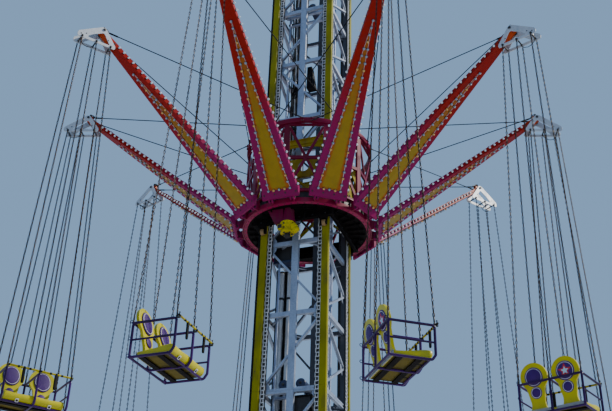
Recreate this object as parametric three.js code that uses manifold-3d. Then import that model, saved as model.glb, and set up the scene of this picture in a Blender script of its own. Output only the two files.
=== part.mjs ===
// A tower swing ride: a square lattice mast, a carriage that climbs it on four yellow guide
// rails, and a turning carousel of ten raised arms. A double chair hangs on chains from the
// tip of every arm. Millimetres, +Z up, the origin under the middle of the mast's base plate.

import * as THREE from 'three';
import { mergeVertices } from 'three/addons/utils/BufferGeometryUtils.js';
import Module from 'manifold-3d';

const wasm = await Module();
wasm.setup();

// Driving dimensions

// The gap between pieces that touch, and how far fused shapes reach into each other.
const TOUCH = 0.3;
const OVERLAP = 1;

const MAST = {
  half: 785,
  foot: 300,
  bay: 5000 / 3,
  baysPerSection: 3,
  sections: 5,
  footBays: 2,
  postWidth: 100,
  faceDepth: 80,
  girtHeight: 100,
  columnWidth: 150,
  braceWidth: 72,
};

const RAIL = { width: 150, depth: 100 };

const BASE = { half: 1300, plate: 50, beamWidth: 220 };

const HEAD = {
  half: 900,
  deck: 60,
  curb: 260,
  roofHalf: 846,
  roofRise: 420,
  spireRise: 1500,
  spireSide: 60,
};

const CAROUSEL_Z = 12510;

const DRUM = {
  inner: 1330,
  outer: 1400,
  flange: 1455,
  height: 300,
  flangeHeight: 30,
  sides: 40,
  lugThickness: 30,
  lugHeight: 130,
  lugSpread: 480,
};

const CARRIAGE = {
  clearance: 50,
  beamWidth: 85,
  beamHeight: 150,
  bottom: -130,
  platform: 20,
  top: 1980,
  raceGap: 0.5,
};

const ROLLER = {
  radius: 70,
  width: 80,
  drop: 150,
  sides: 16,
  axleRadius: 12,
  axleLength: 134,
  axleHole: 13.4,
  axleSides: 8,
  forkGap: 90,
  forkPlate: 18,
  forkWidth: 60,
};

const DRIVE = {
  offset: 1115,
  mountHeight: 330,
  mountTop: 150,
  mountBottom: 130,
  mountSides: 8,
  motorRadius: 165,
  motorHeight: 230,
  motorSides: 16,
  tailRadius: 110,
  tailHeight: 210,
  tailSides: 12,
  boxWidth: 230,
  boxSide: 120,
};

const CROWN = {
  outer: 1470,
  depth: 75,
  top: 2190,
  ringHeight: 120,
  middleHeight: 80,
  apothem: 1372,
  panelDepth: 50,
  postWidth: 170,
  sill: 60,
  head: 90,
  braceWidth: 60,
  sides: 30,
};

const ARM = {
  count: 10,
  baseRadius: 1630,
  baseHeight: 187,
  tipRadius: 5410,
  tipHeight: 3167,
  baseWidth: 800,
  tipWidth: 140,
  depth: 100,
  overhang: 55,
};

const END_PLATE = { radius: 1581, depth: 85, width: 860, height: 180, centre: 165 };

const STAY = {
  side: 20,
  turn: 50,
  tipInset: 40,
  tipHeight: 3190,
  tipOffset: 60,
  crownOffset: 40,
  crownSeat: 6.6,
  blockHalf: 50,
  blockTop: 3275,
};

const HANGER = {
  pinHeight: 3170,
  pinRadius: 20,
  pinHole: 23.5,
  pinLength: 290,
  pinSides: 6,
  bottom: 2793,
  reach: 390,
  footHeight: 60,
  footFlare: 25,
  headRise: 60,
  headReach: 60,
  windowDrop: 90,
  windowInset: 115,
  plate: 16,
  gap: 220,
  pitch: 320,
  middleRadius: 5538,
  barSide: 36,
  barOverhang: 20,
};

const GONDOLA = {
  pitch: 560,
  chainLength: 7480,
  front: 340,
  rear: -380,
  midRail: 270,
  topRail: 540,
  tube: 30,
  crossHeight: 28,
  crossSetback: 90,
  corner: 90,
  nose: 31,
  chainSide: 8,
};

const BENCH = {
  inset: 22,
  rear: -290,
  front: 310,
  chamfer: 60,
  nose: 40,
  frontHeight: 135,
  rearHeight: 70,
};

const BACK = {
  headRadius: 240,
  headHeight: 610,
  shoulder: Math.PI / 3.75,
  waist: 120,
  waistHeight: 190,
  footWidth: 225,
  footHeight: 40,
  thickness: 45,
  lean: 12,
  foot: -195,
  sink: 30,
};

const LAP_BAR = { side: 34, gap: 12, overhang: 20, sleeveWidth: 55, sleeveLength: 270, sleeveLip: 4 };

// Colours as seen

const PAINT = {
  galvanised: { color: 0x9aa3ad, roughness: 0.45, metalness: 0.7 },
  yellow: { color: 0xc9b400, roughness: 0.4, metalness: 0.1 },
  magenta: { color: 0x8c0f55, roughness: 0.35, metalness: 0.1 },
  violet: { color: 0x2c1240, roughness: 0.35, metalness: 0.2 },
  shell: { color: 0xd8cf1c, roughness: 0.3, metalness: 0.0 },
};

// Small helpers

const X_AXIS = new THREE.Vector3(1, 0, 0);
const Z_AXIS = new THREE.Vector3(0, 0, 1);

function point(x, y, z) {
  return new THREE.Vector3(x, y, z);
}

function placed(geometry, x, y, z) {
  return geometry.translate(x, y, z);
}

function block(x0, x1, y0, y1, z0, z1) {
  const geometry = new THREE.BoxGeometry(x1 - x0, y1 - y0, z1 - z0);
  return placed(geometry, (x0 + x1) / 2, (y0 + y1) / 2, (z0 + z1) / 2);
}

// A straight bar of rectangular section between two points. `side` points along its width.
function bar(from, to, width, depth, side) {
  const along = to.clone().sub(from);
  const length = along.length();
  along.normalize();
  const across = side.clone().addScaledVector(along, -side.dot(along)).normalize();
  const third = new THREE.Vector3().crossVectors(along, across);
  const turn = new THREE.Matrix4().makeBasis(across, third, along);
  turn.setPosition(from.clone().add(to).multiplyScalar(0.5));
  return new THREE.BoxGeometry(width, depth, length).applyMatrix4(turn);
}

function outline(points) {
  return new THREE.Shape(points.map(([x, y]) => new THREE.Vector2(x, y)));
}

function extruded(shape, depth, curveSegments = 6) {
  return new THREE.ExtrudeGeometry(shape, { depth, bevelEnabled: false, curveSegments });
}

function solid(geometry) {
  const bare = geometry.clone();
  bare.deleteAttribute('normal');
  bare.deleteAttribute('uv');
  const merged = mergeVertices(bare, 1e-3);
  const vertProperties = new Float32Array(merged.attributes.position.array);
  const triVerts = new Uint32Array(merged.index.array);
  return new wasm.Manifold(new wasm.Mesh({ numProp: 3, vertProperties, triVerts }));
}

function drilled(geometry, cutters) {
  const whole = solid(geometry);
  return shaped(cutters.map(solid).reduce((rest, cutter) => rest.subtract(cutter), whole));
}

function shaped(manifold) {
  const mesh = manifold.getMesh();
  const geometry = new THREE.BufferGeometry();
  geometry.setAttribute('position', new THREE.BufferAttribute(mesh.vertProperties, 3));
  geometry.setIndex(new THREE.BufferAttribute(mesh.triVerts, 1));
  return geometry;
}

function fused(geometries) {
  const parts = geometries.map(solid);
  return shaped(parts.reduce((whole, next) => whole.add(next)));
}

function paintedMesh(name, geometry, paint) {
  geometry.computeVertexNormals();
  const mesh = new THREE.Mesh(geometry, new THREE.MeshStandardMaterial(paint));
  mesh.name = name;
  return mesh;
}

// Base frame: a square plate with beams under the mast's sides, where it is bolted down

function baseFrame() {
  const reach = MAST.half + BASE.beamWidth / 2;
  const inner = MAST.half - BASE.beamWidth;
  const top = MAST.foot - TOUCH;
  const pieces = [block(-BASE.half, BASE.half, -BASE.half, BASE.half, 0, BASE.plate)];
  for (const side of [-1, 1]) {
    const low = Math.min(side * inner, side * reach);
    const high = Math.max(side * inner, side * reach);
    pieces.push(block(-reach, reach, low, high, BASE.plate / 2, top));
    pieces.push(block(low, high, -reach, reach, BASE.plate / 2, top));
  }
  return fused(pieces);
}

// Mast sections: four flat lattice sides on common corner posts

// The openings of one bay of a front or rear side: a centre column and one long diagonal.
function columnBayHoles(base, rising) {
  const inner = MAST.half - RAIL.width / 2 - MAST.postWidth;
  const low = base + MAST.girtHeight / 2;
  const high = base + MAST.bay - MAST.girtHeight / 2;
  const middle = (low + high) / 2;
  const column = MAST.columnWidth / 2;
  const slope = (high - low) / (2 * inner);
  const half = (MAST.braceWidth / 2) * Math.hypot(1, slope);
  const centre = (x) => middle + slope * x;
  const holes = [
    [
      [-inner, high],
      [-inner, centre(-inner) + half],
      [-column, centre(-column) + half],
      [-column, high],
    ],
    [[-inner + half / slope, low], [-column, low], [-column, centre(-column) - half]],
    [[column, high], [column, centre(column) + half], [inner - half / slope, high]],
    [
      [column, low],
      [inner, low],
      [inner, centre(inner) - half],
      [column, centre(column) - half],
    ],
  ];
  if (rising) {
    return holes;
  }
  return holes.map((hole) => hole.map(([x, z]) => [-x, z]));
}

// The openings of one bay of a left or right side: two diagonals that meet on the rear post.
function knuckleBayHoles(base) {
  const inner = MAST.half - RAIL.depth - MAST.faceDepth;
  const low = base + MAST.girtHeight / 2;
  const high = base + MAST.bay - MAST.girtHeight / 2;
  const middle = (low + high) / 2;
  const slope = (high - middle) / (2 * inner);
  const half = (MAST.braceWidth / 2) * Math.hypot(1, slope);
  return [
    [[-inner + half / slope, high], [inner, middle + half], [inner, high]],
    [[-inner, high - half], [-inner, low + half], [inner - half / slope, middle]],
    [[-inner + half / slope, low], [inner, low], [inner, middle - half]],
  ];
}

// A flat side from `low` to `high` in the XZ plane, cut through at each opening.
function latticeSide(halfWidth, low, high, holes, depth) {
  const cutters = holes.map((hole) => {
    const cutter = extruded(outline(hole), 3 * depth).rotateX(Math.PI / 2);
    return cutter.translate(0, 2 * depth, 0);
  });
  return drilled(block(-halfWidth, halfWidth, 0, depth, low, high), cutters);
}

function mastSection(low, bays) {
  const high = low + bays * MAST.bay;
  const halfWidth = MAST.half - RAIL.width / 2;
  const face = MAST.half - RAIL.depth - TOUCH;
  const columnHoles = [];
  const knuckleHoles = [];
  for (let bay = 0; bay < bays; bay += 1) {
    columnHoles.push(...columnBayHoles(low + bay * MAST.bay, bay % 2 === 0));
    knuckleHoles.push(...knuckleBayHoles(low + bay * MAST.bay));
  }
  const from = low + TOUCH / 2;
  const to = high - TOUCH / 2;
  const front = latticeSide(halfWidth, from, to, columnHoles, MAST.faceDepth);
  const left = latticeSide(face, from, to, knuckleHoles, MAST.faceDepth);
  return fused([
    front.clone().translate(0, -face, 0),
    front.clone().rotateZ(Math.PI).translate(0, face, 0),
    left.clone().rotateZ(Math.PI / 2).translate(halfWidth, 0, 0),
    left.clone().rotateZ(Math.PI / 2).translate(MAST.faceDepth - halfWidth, 0, 0),
  ]);
}

const mastTop = MAST.foot + (MAST.footBays + MAST.sections * MAST.baysPerSection) * MAST.bay;

// Guide rails: yellow box sections in front of the corner posts

function guideRail(sideX, sideY) {
  const x = [sideX * (MAST.half - RAIL.width), sideX * MAST.half].sort((a, b) => a - b);
  const y = [sideY * (MAST.half - RAIL.depth), sideY * MAST.half].sort((a, b) => a - b);
  return block(x[0], x[1], y[0], y[1], MAST.foot, mastTop);
}

// Mast head: a deck with a curb, a low hipped roof and a slim spire

function mastHead() {
  const low = mastTop + TOUCH;
  const curbTop = low + HEAD.curb;
  const roofRadius = HEAD.roofHalf * Math.SQRT2;
  const roof = new THREE.ConeGeometry(roofRadius, HEAD.roofRise, 4);
  roof.rotateX(Math.PI / 2).rotateZ(Math.PI / 4);
  const spire = HEAD.spireSide / 2;
  return fused([
    block(-HEAD.half, HEAD.half, -HEAD.half, HEAD.half, low, low + HEAD.deck),
    block(-MAST.half, MAST.half, -MAST.half, MAST.half, low + HEAD.deck / 2, curbTop),
    roof.translate(0, 0, curbTop + HEAD.roofRise / 2 - OVERLAP),
    block(-spire, spire, -spire, spire, curbTop, curbTop + HEAD.spireRise),
  ]);
}

// Carriage: a yellow frame round the mast that carries the bearing race of the carousel

const corners = [[-1, -1], [1, -1], [1, 1], [-1, 1]];
const carriageInner = MAST.half + CARRIAGE.clearance;
const carriageOuter = carriageInner + CARRIAGE.beamWidth;

function squareRing(inner, outer, low, high) {
  const ring = outline([[-outer, -outer], [outer, -outer], [outer, outer], [-outer, outer]]);
  ring.holes.push(outline([[-inner, -inner], [-inner, inner], [inner, inner], [inner, -inner]]));
  return placed(extruded(ring, high - low), 0, 0, low);
}

function carriageFrame() {
  const raceRadius = DRUM.inner * Math.cos(Math.PI / DRUM.sides) - CARRIAGE.raceGap;
  const race = new THREE.Shape();
  const start = Math.PI / DRUM.sides;
  race.absarc(0, 0, raceRadius, start, start + 2 * Math.PI);
  const hole = carriageInner;
  race.holes.push(outline([[-hole, -hole], [-hole, hole], [hole, hole], [hole, -hole]]));
  const plateLow = CAROUSEL_Z + CARRIAGE.platform;
  const plateHigh = plateLow + CARRIAGE.beamHeight;
  const top = CAROUSEL_Z + CARRIAGE.top;
  const bottom = CAROUSEL_Z + CARRIAGE.bottom;
  const pieces = [
    placed(extruded(race, plateHigh - plateLow, DRUM.sides / 2), 0, 0, plateLow),
    squareRing(carriageInner, carriageOuter, top - CARRIAGE.beamHeight, top),
    squareRing(carriageInner, carriageOuter, bottom, bottom + CARRIAGE.beamHeight),
  ];
  const middle = (carriageInner + carriageOuter) / 2;
  const middleZ = (plateHigh + top - CARRIAGE.beamHeight) / 2;
  const corner = CARRIAGE.beamWidth / 2;
  const girt = CARRIAGE.beamWidth - 2 * OVERLAP;
  const postLow = bottom + OVERLAP;
  const postHigh = top - OVERLAP;
  for (const side of [-1, 1]) {
    for (const end of [-1, 1]) {
      const x = side * middle;
      const y = end * middle;
      pieces.push(block(x - corner, x + corner, y - corner, y + corner, postLow, postHigh));
    }
    const sides = [
      [point(side * middle, -middle, middleZ), point(side * middle, middle, middleZ)],
      [point(-middle, side * middle, middleZ), point(middle, side * middle, middleZ)],
    ];
    for (const [from, to] of sides) {
      pieces.push(bar(from, to, girt, girt, Z_AXIS));
    }
  }
  const forks = corners.flatMap(([sideX, sideY]) => rollerFork(rollerPlace(sideX, sideY)));
  const halfStep = Math.PI / ROLLER.axleSides;
  const holes = corners.map(([sideX, sideY]) => {
    const { x, y, z } = rollerPlace(sideX, sideY);
    const hole = crosswise(ROLLER.axleHole, ROLLER.axleLength, ROLLER.axleSides, halfStep);
    return placed(hole, x, y, z);
  });
  return drilled(fused([...pieces, ...forks]), holes);
}

// Guide rollers: they run on the front and rear faces of the rails, in forks under the carriage

function rollerPlace(sideX, sideY) {
  const x = sideX * (MAST.half - RAIL.width / 2);
  const y = sideY * (MAST.half + TOUCH + ROLLER.radius);
  return point(x, y, CAROUSEL_Z + CARRIAGE.bottom - ROLLER.drop);
}

// A cylinder along X. `start` turns its corners.
function crosswise(radius, length, sides, start) {
  return new THREE.CylinderGeometry(radius, radius, length, sides).rotateY(start).rotateZ(Math.PI / 2);
}

function rollerFork(centre) {
  const { x, y, z } = centre;
  const half = ROLLER.forkWidth / 2;
  const near = ROLLER.forkGap / 2;
  const far = near + ROLLER.forkPlate;
  const top = CAROUSEL_Z + CARRIAGE.bottom + CARRIAGE.beamHeight / 2;
  return [
    block(x - far, x - near, y - half, y + half, z - half, top),
    block(x + near, x + far, y - half, y + half, z - half, top),
  ];
}

function guideRoller(sideX, sideY) {
  const wheel = crosswise(ROLLER.radius, ROLLER.width, ROLLER.sides, 0);
  const axle = crosswise(ROLLER.axleRadius, ROLLER.axleLength, ROLLER.axleSides, 0);
  const { x, y, z } = rollerPlace(sideX, sideY);
  return placed(fused([wheel, axle]), x, y, z);
}

// Turning drive: a tapered mount on the race plate, with the gearmotor hanging below it

function upright(topRadius, bottomRadius, height, sides) {
  return new THREE.CylinderGeometry(topRadius, bottomRadius, height, sides).rotateX(Math.PI / 2);
}

function turningDrive() {
  const y = -DRIVE.offset;
  const top = CAROUSEL_Z + CARRIAGE.platform - TOUCH;
  const motorTop = top - DRIVE.mountHeight;
  const tailTop = motorTop - DRIVE.motorHeight;
  const mount = upright(DRIVE.mountTop, DRIVE.mountBottom, DRIVE.mountHeight, DRIVE.mountSides);
  const motor = upright(DRIVE.motorRadius, DRIVE.motorRadius, DRIVE.motorHeight, DRIVE.motorSides);
  const tail = upright(DRIVE.tailRadius, DRIVE.tailRadius, DRIVE.tailHeight, DRIVE.tailSides);
  const terminals = new THREE.BoxGeometry(DRIVE.boxWidth, DRIVE.boxSide, DRIVE.boxSide);
  const boxX = (DRIVE.boxSide + DRIVE.boxWidth) / 2;
  return fused([
    placed(mount, 0, y, top - DRIVE.mountHeight / 2),
    placed(motor, 0, y, motorTop - DRIVE.motorHeight / 2 + OVERLAP),
    placed(tail, 0, y, tailTop - DRIVE.tailHeight / 2 + 2 * OVERLAP),
    placed(terminals, boxX, y, motorTop - DRIVE.motorHeight / 2),
  ]);
}

// Drum: the turning rim with a flange above and below, and a lug pair for every arm

function armTurn(index) {
  return (index * 2 * Math.PI) / ARM.count;
}

// A point at `radius` from the mast's axis, `side` along the turning direction and `z` above
// the underside of the drum, for a turn measured from -Y towards +X.
function around(turn, radius, side, z) {
  const x = radius * Math.sin(turn) + side * Math.cos(turn);
  const y = -radius * Math.cos(turn) + side * Math.sin(turn);
  return point(x, y, CAROUSEL_Z + z);
}

// The turning direction at a turn.
function sideways(turn) {
  return point(Math.cos(turn), Math.sin(turn), 0);
}

function drum() {
  const profile = [
    [DRUM.inner, 0],
    [DRUM.flange, 0],
    [DRUM.flange, DRUM.flangeHeight],
    [DRUM.outer, DRUM.flangeHeight],
    [DRUM.outer, DRUM.height - DRUM.flangeHeight],
    [DRUM.flange, DRUM.height - DRUM.flangeHeight],
    [DRUM.flange, DRUM.height],
    [DRUM.inner, DRUM.height],
    [DRUM.inner, 0],
  ].map(([r, z]) => new THREE.Vector2(r, z));
  const rim = new THREE.LatheGeometry(profile, DRUM.sides).rotateX(Math.PI / 2);
  const pieces = [rim.translate(0, 0, CAROUSEL_Z)];
  const lugStart = (DRUM.inner + DRUM.outer) / 2;
  const lugEnd = END_PLATE.radius - TOUCH;
  for (let index = 0; index < ARM.count; index += 1) {
    const turn = armTurn(index);
    for (const side of [-DRUM.lugSpread / 2, DRUM.lugSpread / 2]) {
      const from = around(turn, lugStart, side, DRUM.height / 2);
      const to = around(turn, lugEnd, side, DRUM.height / 2);
      pieces.push(bar(from, to, DRUM.lugThickness, DRUM.lugHeight, sideways(turn)));
    }
  }
  return fused(pieces);
}

// Crown cage: a top ring on ten posts, with a braced panel between every two of them

function crownRing() {
  const inner = CROWN.outer - CROWN.depth;
  const low = CROWN.top - CROWN.ringHeight;
  const outer = CROWN.outer;
  const section = [[inner, low], [outer, low], [outer, CROWN.top], [inner, CROWN.top], [inner, low]];
  const band = new THREE.LatheGeometry(section.map(([r, z]) => new THREE.Vector2(r, z)), CROWN.sides);
  return band.rotateX(Math.PI / 2).translate(0, 0, CAROUSEL_Z);
}

// The openings of a panel that is open at the top: crossed braces, and a rail through their crossing.
function crownPanelHoles(half, low, high, above) {
  const middle = (low + high) / 2;
  const slope = (high - low) / (2 * half);
  const rise = (CROWN.braceWidth / 2) * Math.hypot(1, slope);
  const rail = CROWN.middleHeight / 2;
  const end = half - rise / slope;
  const start = (rise + rail) / slope;
  const holes = [
    [[-half, above], [-half, high + rise], [0, middle + rise], [half, high + rise], [half, above]],
    [[-end, low], [end, low], [0, middle - rise]],
  ];
  for (const side of [-1, 1]) {
    holes.push([[side * half, middle + rail], [side * start, middle + rail], [side * half, high - rise]]);
    holes.push([[side * half, middle - rail], [side * start, middle - rail], [side * half, low + rise]]);
  }
  return holes;
}

function crownCage() {
  const low = DRUM.height + TOUCH;
  const ringLow = CROWN.top - CROWN.ringHeight;
  const high = ringLow + OVERLAP;
  const corner = Math.tan(Math.PI / ARM.count);
  const half = CROWN.apothem * corner;
  const reach = (CROWN.apothem + CROWN.panelDepth / 2) * corner;
  const opening = half - CROWN.postWidth / 2;
  const holes = crownPanelHoles(opening, low + CROWN.sill, ringLow - CROWN.head, high + OVERLAP);
  const panel = latticeSide(reach, low, high, holes, CROWN.panelDepth);
  panel.translate(0, -CROWN.apothem - CROWN.panelDepth / 2, CAROUSEL_Z);
  const pieces = [crownRing()];
  for (let index = 0; index < ARM.count; index += 1) {
    pieces.push(panel.clone().rotateZ(armTurn(index + 0.5)));
  }
  return fused(pieces);
}

// Arms: shallow tapered beams with an end plate, a pin and a block for the two stays to the crown

function taperedBeam() {
  const box = new THREE.BoxGeometry(1, 1, 1);
  const position = box.attributes.position;
  const base = point(0, -ARM.baseRadius, ARM.baseHeight);
  const tip = point(0, -ARM.tipRadius, ARM.tipHeight);
  const along = tip.clone().sub(base).normalize();
  const up = new THREE.Vector3().crossVectors(along, X_AXIS);
  tip.addScaledVector(along, ARM.overhang);
  for (let i = 0; i < position.count; i += 1) {
    const atTip = position.getZ(i) > 0;
    const end = atTip ? tip : base;
    const width = atTip ? ARM.tipWidth : ARM.baseWidth;
    const corner = end.clone();
    corner.addScaledVector(X_AXIS, position.getX(i) * width);
    corner.addScaledVector(up, position.getY(i) * ARM.depth);
    position.setXYZ(i, corner.x, corner.y, corner.z);
  }
  return box.translate(0, 0, CAROUSEL_Z);
}

function arm(index) {
  const turn = armTurn(index);
  const plateStart = around(turn, END_PLATE.radius, 0, END_PLATE.centre);
  const plateEnd = around(turn, END_PLATE.radius + END_PLATE.depth, 0, END_PLATE.centre);
  const pin = crosswise(HANGER.pinRadius, HANGER.pinLength, HANGER.pinSides, 0);
  pin.translate(0, -ARM.tipRadius, CAROUSEL_Z + HANGER.pinHeight);
  const root = ARM.tipRadius - STAY.tipInset;
  const half = STAY.blockHalf;
  const blockLow = CAROUSEL_Z + ARM.tipHeight - half;
  const blockHigh = CAROUSEL_Z + STAY.blockTop;
  const stayBlock = block(-half, half, -root - half, -root + half, blockLow, blockHigh);
  const pieces = [
    taperedBeam().rotateZ(turn),
    bar(plateStart, plateEnd, END_PLATE.width, END_PLATE.height, sideways(turn)),
    stayBlock.rotateZ(turn),
    pin.rotateZ(turn),
  ];
  for (const side of [-1, 1]) {
    const far = turn + side * THREE.MathUtils.degToRad(STAY.turn);
    const endHeight = CROWN.top - CROWN.ringHeight / 2 + side * STAY.crownOffset;
    const start = around(turn, root, 0, STAY.tipHeight + side * STAY.tipOffset);
    const end = around(far, CROWN.outer + STAY.crownSeat, 0, endHeight);
    pieces.push(bar(start, end, STAY.side, STAY.side, Z_AXIS));
  }
  return fused(pieces);
}

// Gondolas: built at the -Y arm, then turned into place. Local axes there: +X is the riding
// direction, -Y is outwards.

const chairZ = HANGER.bottom - GONDOLA.chainLength - GONDOLA.topRail;

// An outline drawn with X outwards and Y up, extruded to a plate that faces the riding direction.
function facingRide(shape, thickness) {
  const plate = extruded(shape, thickness, 4);
  const turn = new THREE.Matrix4().makeBasis(point(0, -1, 0), Z_AXIS, point(-1, 0, 0));
  return plate.applyMatrix4(turn);
}

function hangerPlate(x) {
  const inner = HANGER.middleRadius - HANGER.reach;
  const outer = HANGER.middleRadius + HANGER.reach;
  const low = HANGER.bottom - HANGER.barSide;
  const foot = low + HANGER.footHeight;
  const top = HANGER.pinHeight + HANGER.headRise;
  const shape = outline([
    [inner, low],
    [outer, low],
    [outer + HANGER.footFlare, foot],
    [ARM.tipRadius + HANGER.headReach, top],
    [ARM.tipRadius - HANGER.headReach, top],
    [inner - HANGER.footFlare, foot],
  ]);
  const sill = foot + HANGER.footHeight / 2;
  const windowTop = [ARM.tipRadius, HANGER.pinHeight - HANGER.windowDrop];
  const windowSide = HANGER.windowInset;
  shape.holes.push(outline([[inner + windowSide, sill], windowTop, [outer - windowSide, sill]]));
  const pinHole = [];
  for (let corner = 0; corner < HANGER.pinSides; corner += 1) {
    const turn = (-2 * Math.PI * (corner + 0.5)) / HANGER.pinSides;
    const across = HANGER.pinHole * Math.sin(turn);
    pinHole.push([ARM.tipRadius + across, HANGER.pinHeight + HANGER.pinHole * Math.cos(turn)]);
  }
  shape.holes.push(outline(pinHole));
  return placed(facingRide(shape, HANGER.plate), x + HANGER.plate / 2, 0, CAROUSEL_Z);
}

// One upright frame of the gondola in its own plane. The outer two have a middle rail.
function sideFrame(low, hasMiddleRail) {
  const half = GONDOLA.tube / 2;
  const high = low + GONDOLA.topRail;
  const left = GONDOLA.rear;
  const right = GONDOLA.front;
  const inset = GONDOLA.corner - GONDOLA.tube;
  const shape = outline([
    [left - half, low - half],
    [right + half - GONDOLA.corner, low - half],
    [right + half, low - half + GONDOLA.corner],
    [right + half, high - half],
    [right + half + GONDOLA.nose, high - half],
    [right + half + GONDOLA.nose, high + half],
    [left - half, high + half],
  ]);
  const bottomHole = [
    [right - half, low + half + inset],
    [right - half - inset, low + half],
    [left + half, low + half],
  ];
  if (hasMiddleRail) {
    const rail = low + GONDOLA.midRail;
    shape.holes.push(outline([...bottomHole, [left + half, rail - half], [right - half, rail - half]]));
    shape.holes.push(outline([
      [left + half, rail + half],
      [left + half, high - half],
      [right - half, high - half],
      [right - half, rail + half],
    ]));
  } else {
    shape.holes.push(outline([...bottomHole, [left + half, high - half], [right - half, high - half]]));
  }
  return extruded(shape, GONDOLA.tube).rotateX(Math.PI / 2).translate(0, half, 0);
}

function gondolaFrame() {
  const low = CAROUSEL_Z + chairZ;
  const high = low + GONDOLA.topRail;
  const hang = CAROUSEL_Z + HANGER.bottom;
  const middle = -HANGER.middleRadius;
  const pieces = [];
  for (const seat of [-1, 0, 1]) {
    const y = middle - seat * GONDOLA.pitch;
    const hangY = middle - seat * HANGER.pitch;
    pieces.push(sideFrame(low, seat !== 0).translate(0, y, 0));
    for (const end of [GONDOLA.front, GONDOLA.rear]) {
      const hangX = Math.sign(end) * (HANGER.gap / 2 + HANGER.plate);
      const foot = point(end, y, high);
      pieces.push(bar(foot, point(hangX, hangY, hang), GONDOLA.chainSide, GONDOLA.chainSide, X_AXIS));
    }
    const barLength = HANGER.gap + 2 * (HANGER.plate + HANGER.barOverhang);
    const cross = new THREE.BoxGeometry(barLength, HANGER.barSide, HANGER.barSide);
    pieces.push(placed(cross, 0, hangY, hang));
  }
  const crossings = [
    [GONDOLA.front - GONDOLA.crossSetback, low],
    [GONDOLA.rear, low],
    [GONDOLA.rear, high],
  ];
  for (const [x, z] of crossings) {
    const width = GONDOLA.tube - 2 * OVERLAP;
    const cross = new THREE.BoxGeometry(width, 2 * GONDOLA.pitch, GONDOLA.crossHeight);
    pieces.push(placed(cross, x, middle, z));
  }
  for (const side of [-1, 1]) {
    pieces.push(hangerPlate((side * (HANGER.gap + HANGER.plate)) / 2));
  }
  return fused(pieces);
}

// Seats: one bench across both places and two keyhole backs

function keyhole() {
  const shape = new THREE.Shape();
  const join = BACK.shoulder;
  const joinX = Math.cos(-join) * BACK.headRadius;
  const joinY = BACK.headHeight + Math.sin(-join) * BACK.headRadius;
  shape.moveTo(-BACK.footWidth, 0);
  shape.lineTo(BACK.footWidth, 0);
  shape.quadraticCurveTo(BACK.waist, BACK.footHeight, BACK.waist, BACK.waistHeight);
  shape.lineTo(joinX, joinY);
  shape.absarc(0, BACK.headHeight, BACK.headRadius, -join, Math.PI + join, false);
  shape.lineTo(-BACK.waist, BACK.waistHeight);
  shape.quadraticCurveTo(-BACK.waist, BACK.footHeight, -BACK.footWidth, 0);
  return shape;
}

function seatPair() {
  const low = CAROUSEL_Z + chairZ + GONDOLA.tube / 2 + TOUCH;
  const middle = -HANGER.middleRadius;
  const halfWidth = GONDOLA.pitch - GONDOLA.tube / 2 - BENCH.inset;
  const bench = outline([
    [BENCH.rear, 0],
    [BENCH.front - BENCH.chamfer, 0],
    [BENCH.front, BENCH.chamfer],
    [BENCH.front, BENCH.frontHeight - BENCH.nose / 2],
    [BENCH.front - BENCH.nose / 2, BENCH.frontHeight],
    [BENCH.front - BENCH.nose * 2, BENCH.frontHeight],
    [BENCH.rear, BENCH.rearHeight],
  ]);
  const cushion = extruded(bench, 2 * halfWidth).rotateX(Math.PI / 2);
  const pieces = [cushion.translate(0, middle + halfWidth, low)];
  for (const seat of [-0.5, 0.5]) {
    const back = facingRide(keyhole(), BACK.thickness).rotateY(-THREE.MathUtils.degToRad(BACK.lean));
    pieces.push(back.translate(BACK.foot, middle - seat * GONDOLA.pitch, low + BACK.sink));
  }
  return fused(pieces);
}

// Lap bar: a bar across the front with a padded sleeve for each rider

function lapBar() {
  const half = LAP_BAR.side / 2;
  const z = CAROUSEL_Z + chairZ + GONDOLA.topRail + GONDOLA.tube / 2 + half + TOUCH;
  const near = GONDOLA.front + LAP_BAR.gap;
  const far = near + LAP_BAR.side;
  const middle = -HANGER.middleRadius;
  const reach = GONDOLA.pitch + LAP_BAR.overhang;
  const lip = LAP_BAR.sleeveLip;
  const pieces = [block(near, far, middle - reach, middle + reach, z - half, z + half)];
  for (const seat of [-0.5, 0.5]) {
    const y = middle - seat * GONDOLA.pitch;
    const side = LAP_BAR.sleeveWidth / 2;
    pieces.push(block(near - lip, far + lip, y - side, y + side, z - LAP_BAR.sleeveLength, z + half + lip));
  }
  return fused(pieces);
}

// Assembly

const group = new THREE.Group();
group.add(paintedMesh('base_frame', baseFrame(), PAINT.galvanised));

let level = MAST.foot;
for (let index = 0; index <= MAST.sections; index += 1) {
  const bays = index === 0 ? MAST.footBays : MAST.baysPerSection;
  const name = index === 0 ? 'mast_foot' : `mast_section_${index}`;
  group.add(paintedMesh(name, mastSection(level, bays), PAINT.galvanised));
  level += bays * MAST.bay;
}
group.add(paintedMesh('mast_head', mastHead(), PAINT.galvanised));

corners.forEach(([sideX, sideY], index) => {
  group.add(paintedMesh(`guide_rail_${index + 1}`, guideRail(sideX, sideY), PAINT.yellow));
  group.add(paintedMesh(`guide_roller_${index + 1}`, guideRoller(sideX, sideY), PAINT.galvanised));
});

group.add(paintedMesh('carriage_frame', carriageFrame(), PAINT.yellow));
group.add(paintedMesh('turning_drive', turningDrive(), PAINT.yellow));
group.add(paintedMesh('drum', drum(), PAINT.magenta));
group.add(paintedMesh('crown_cage', crownCage(), PAINT.magenta));

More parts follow.
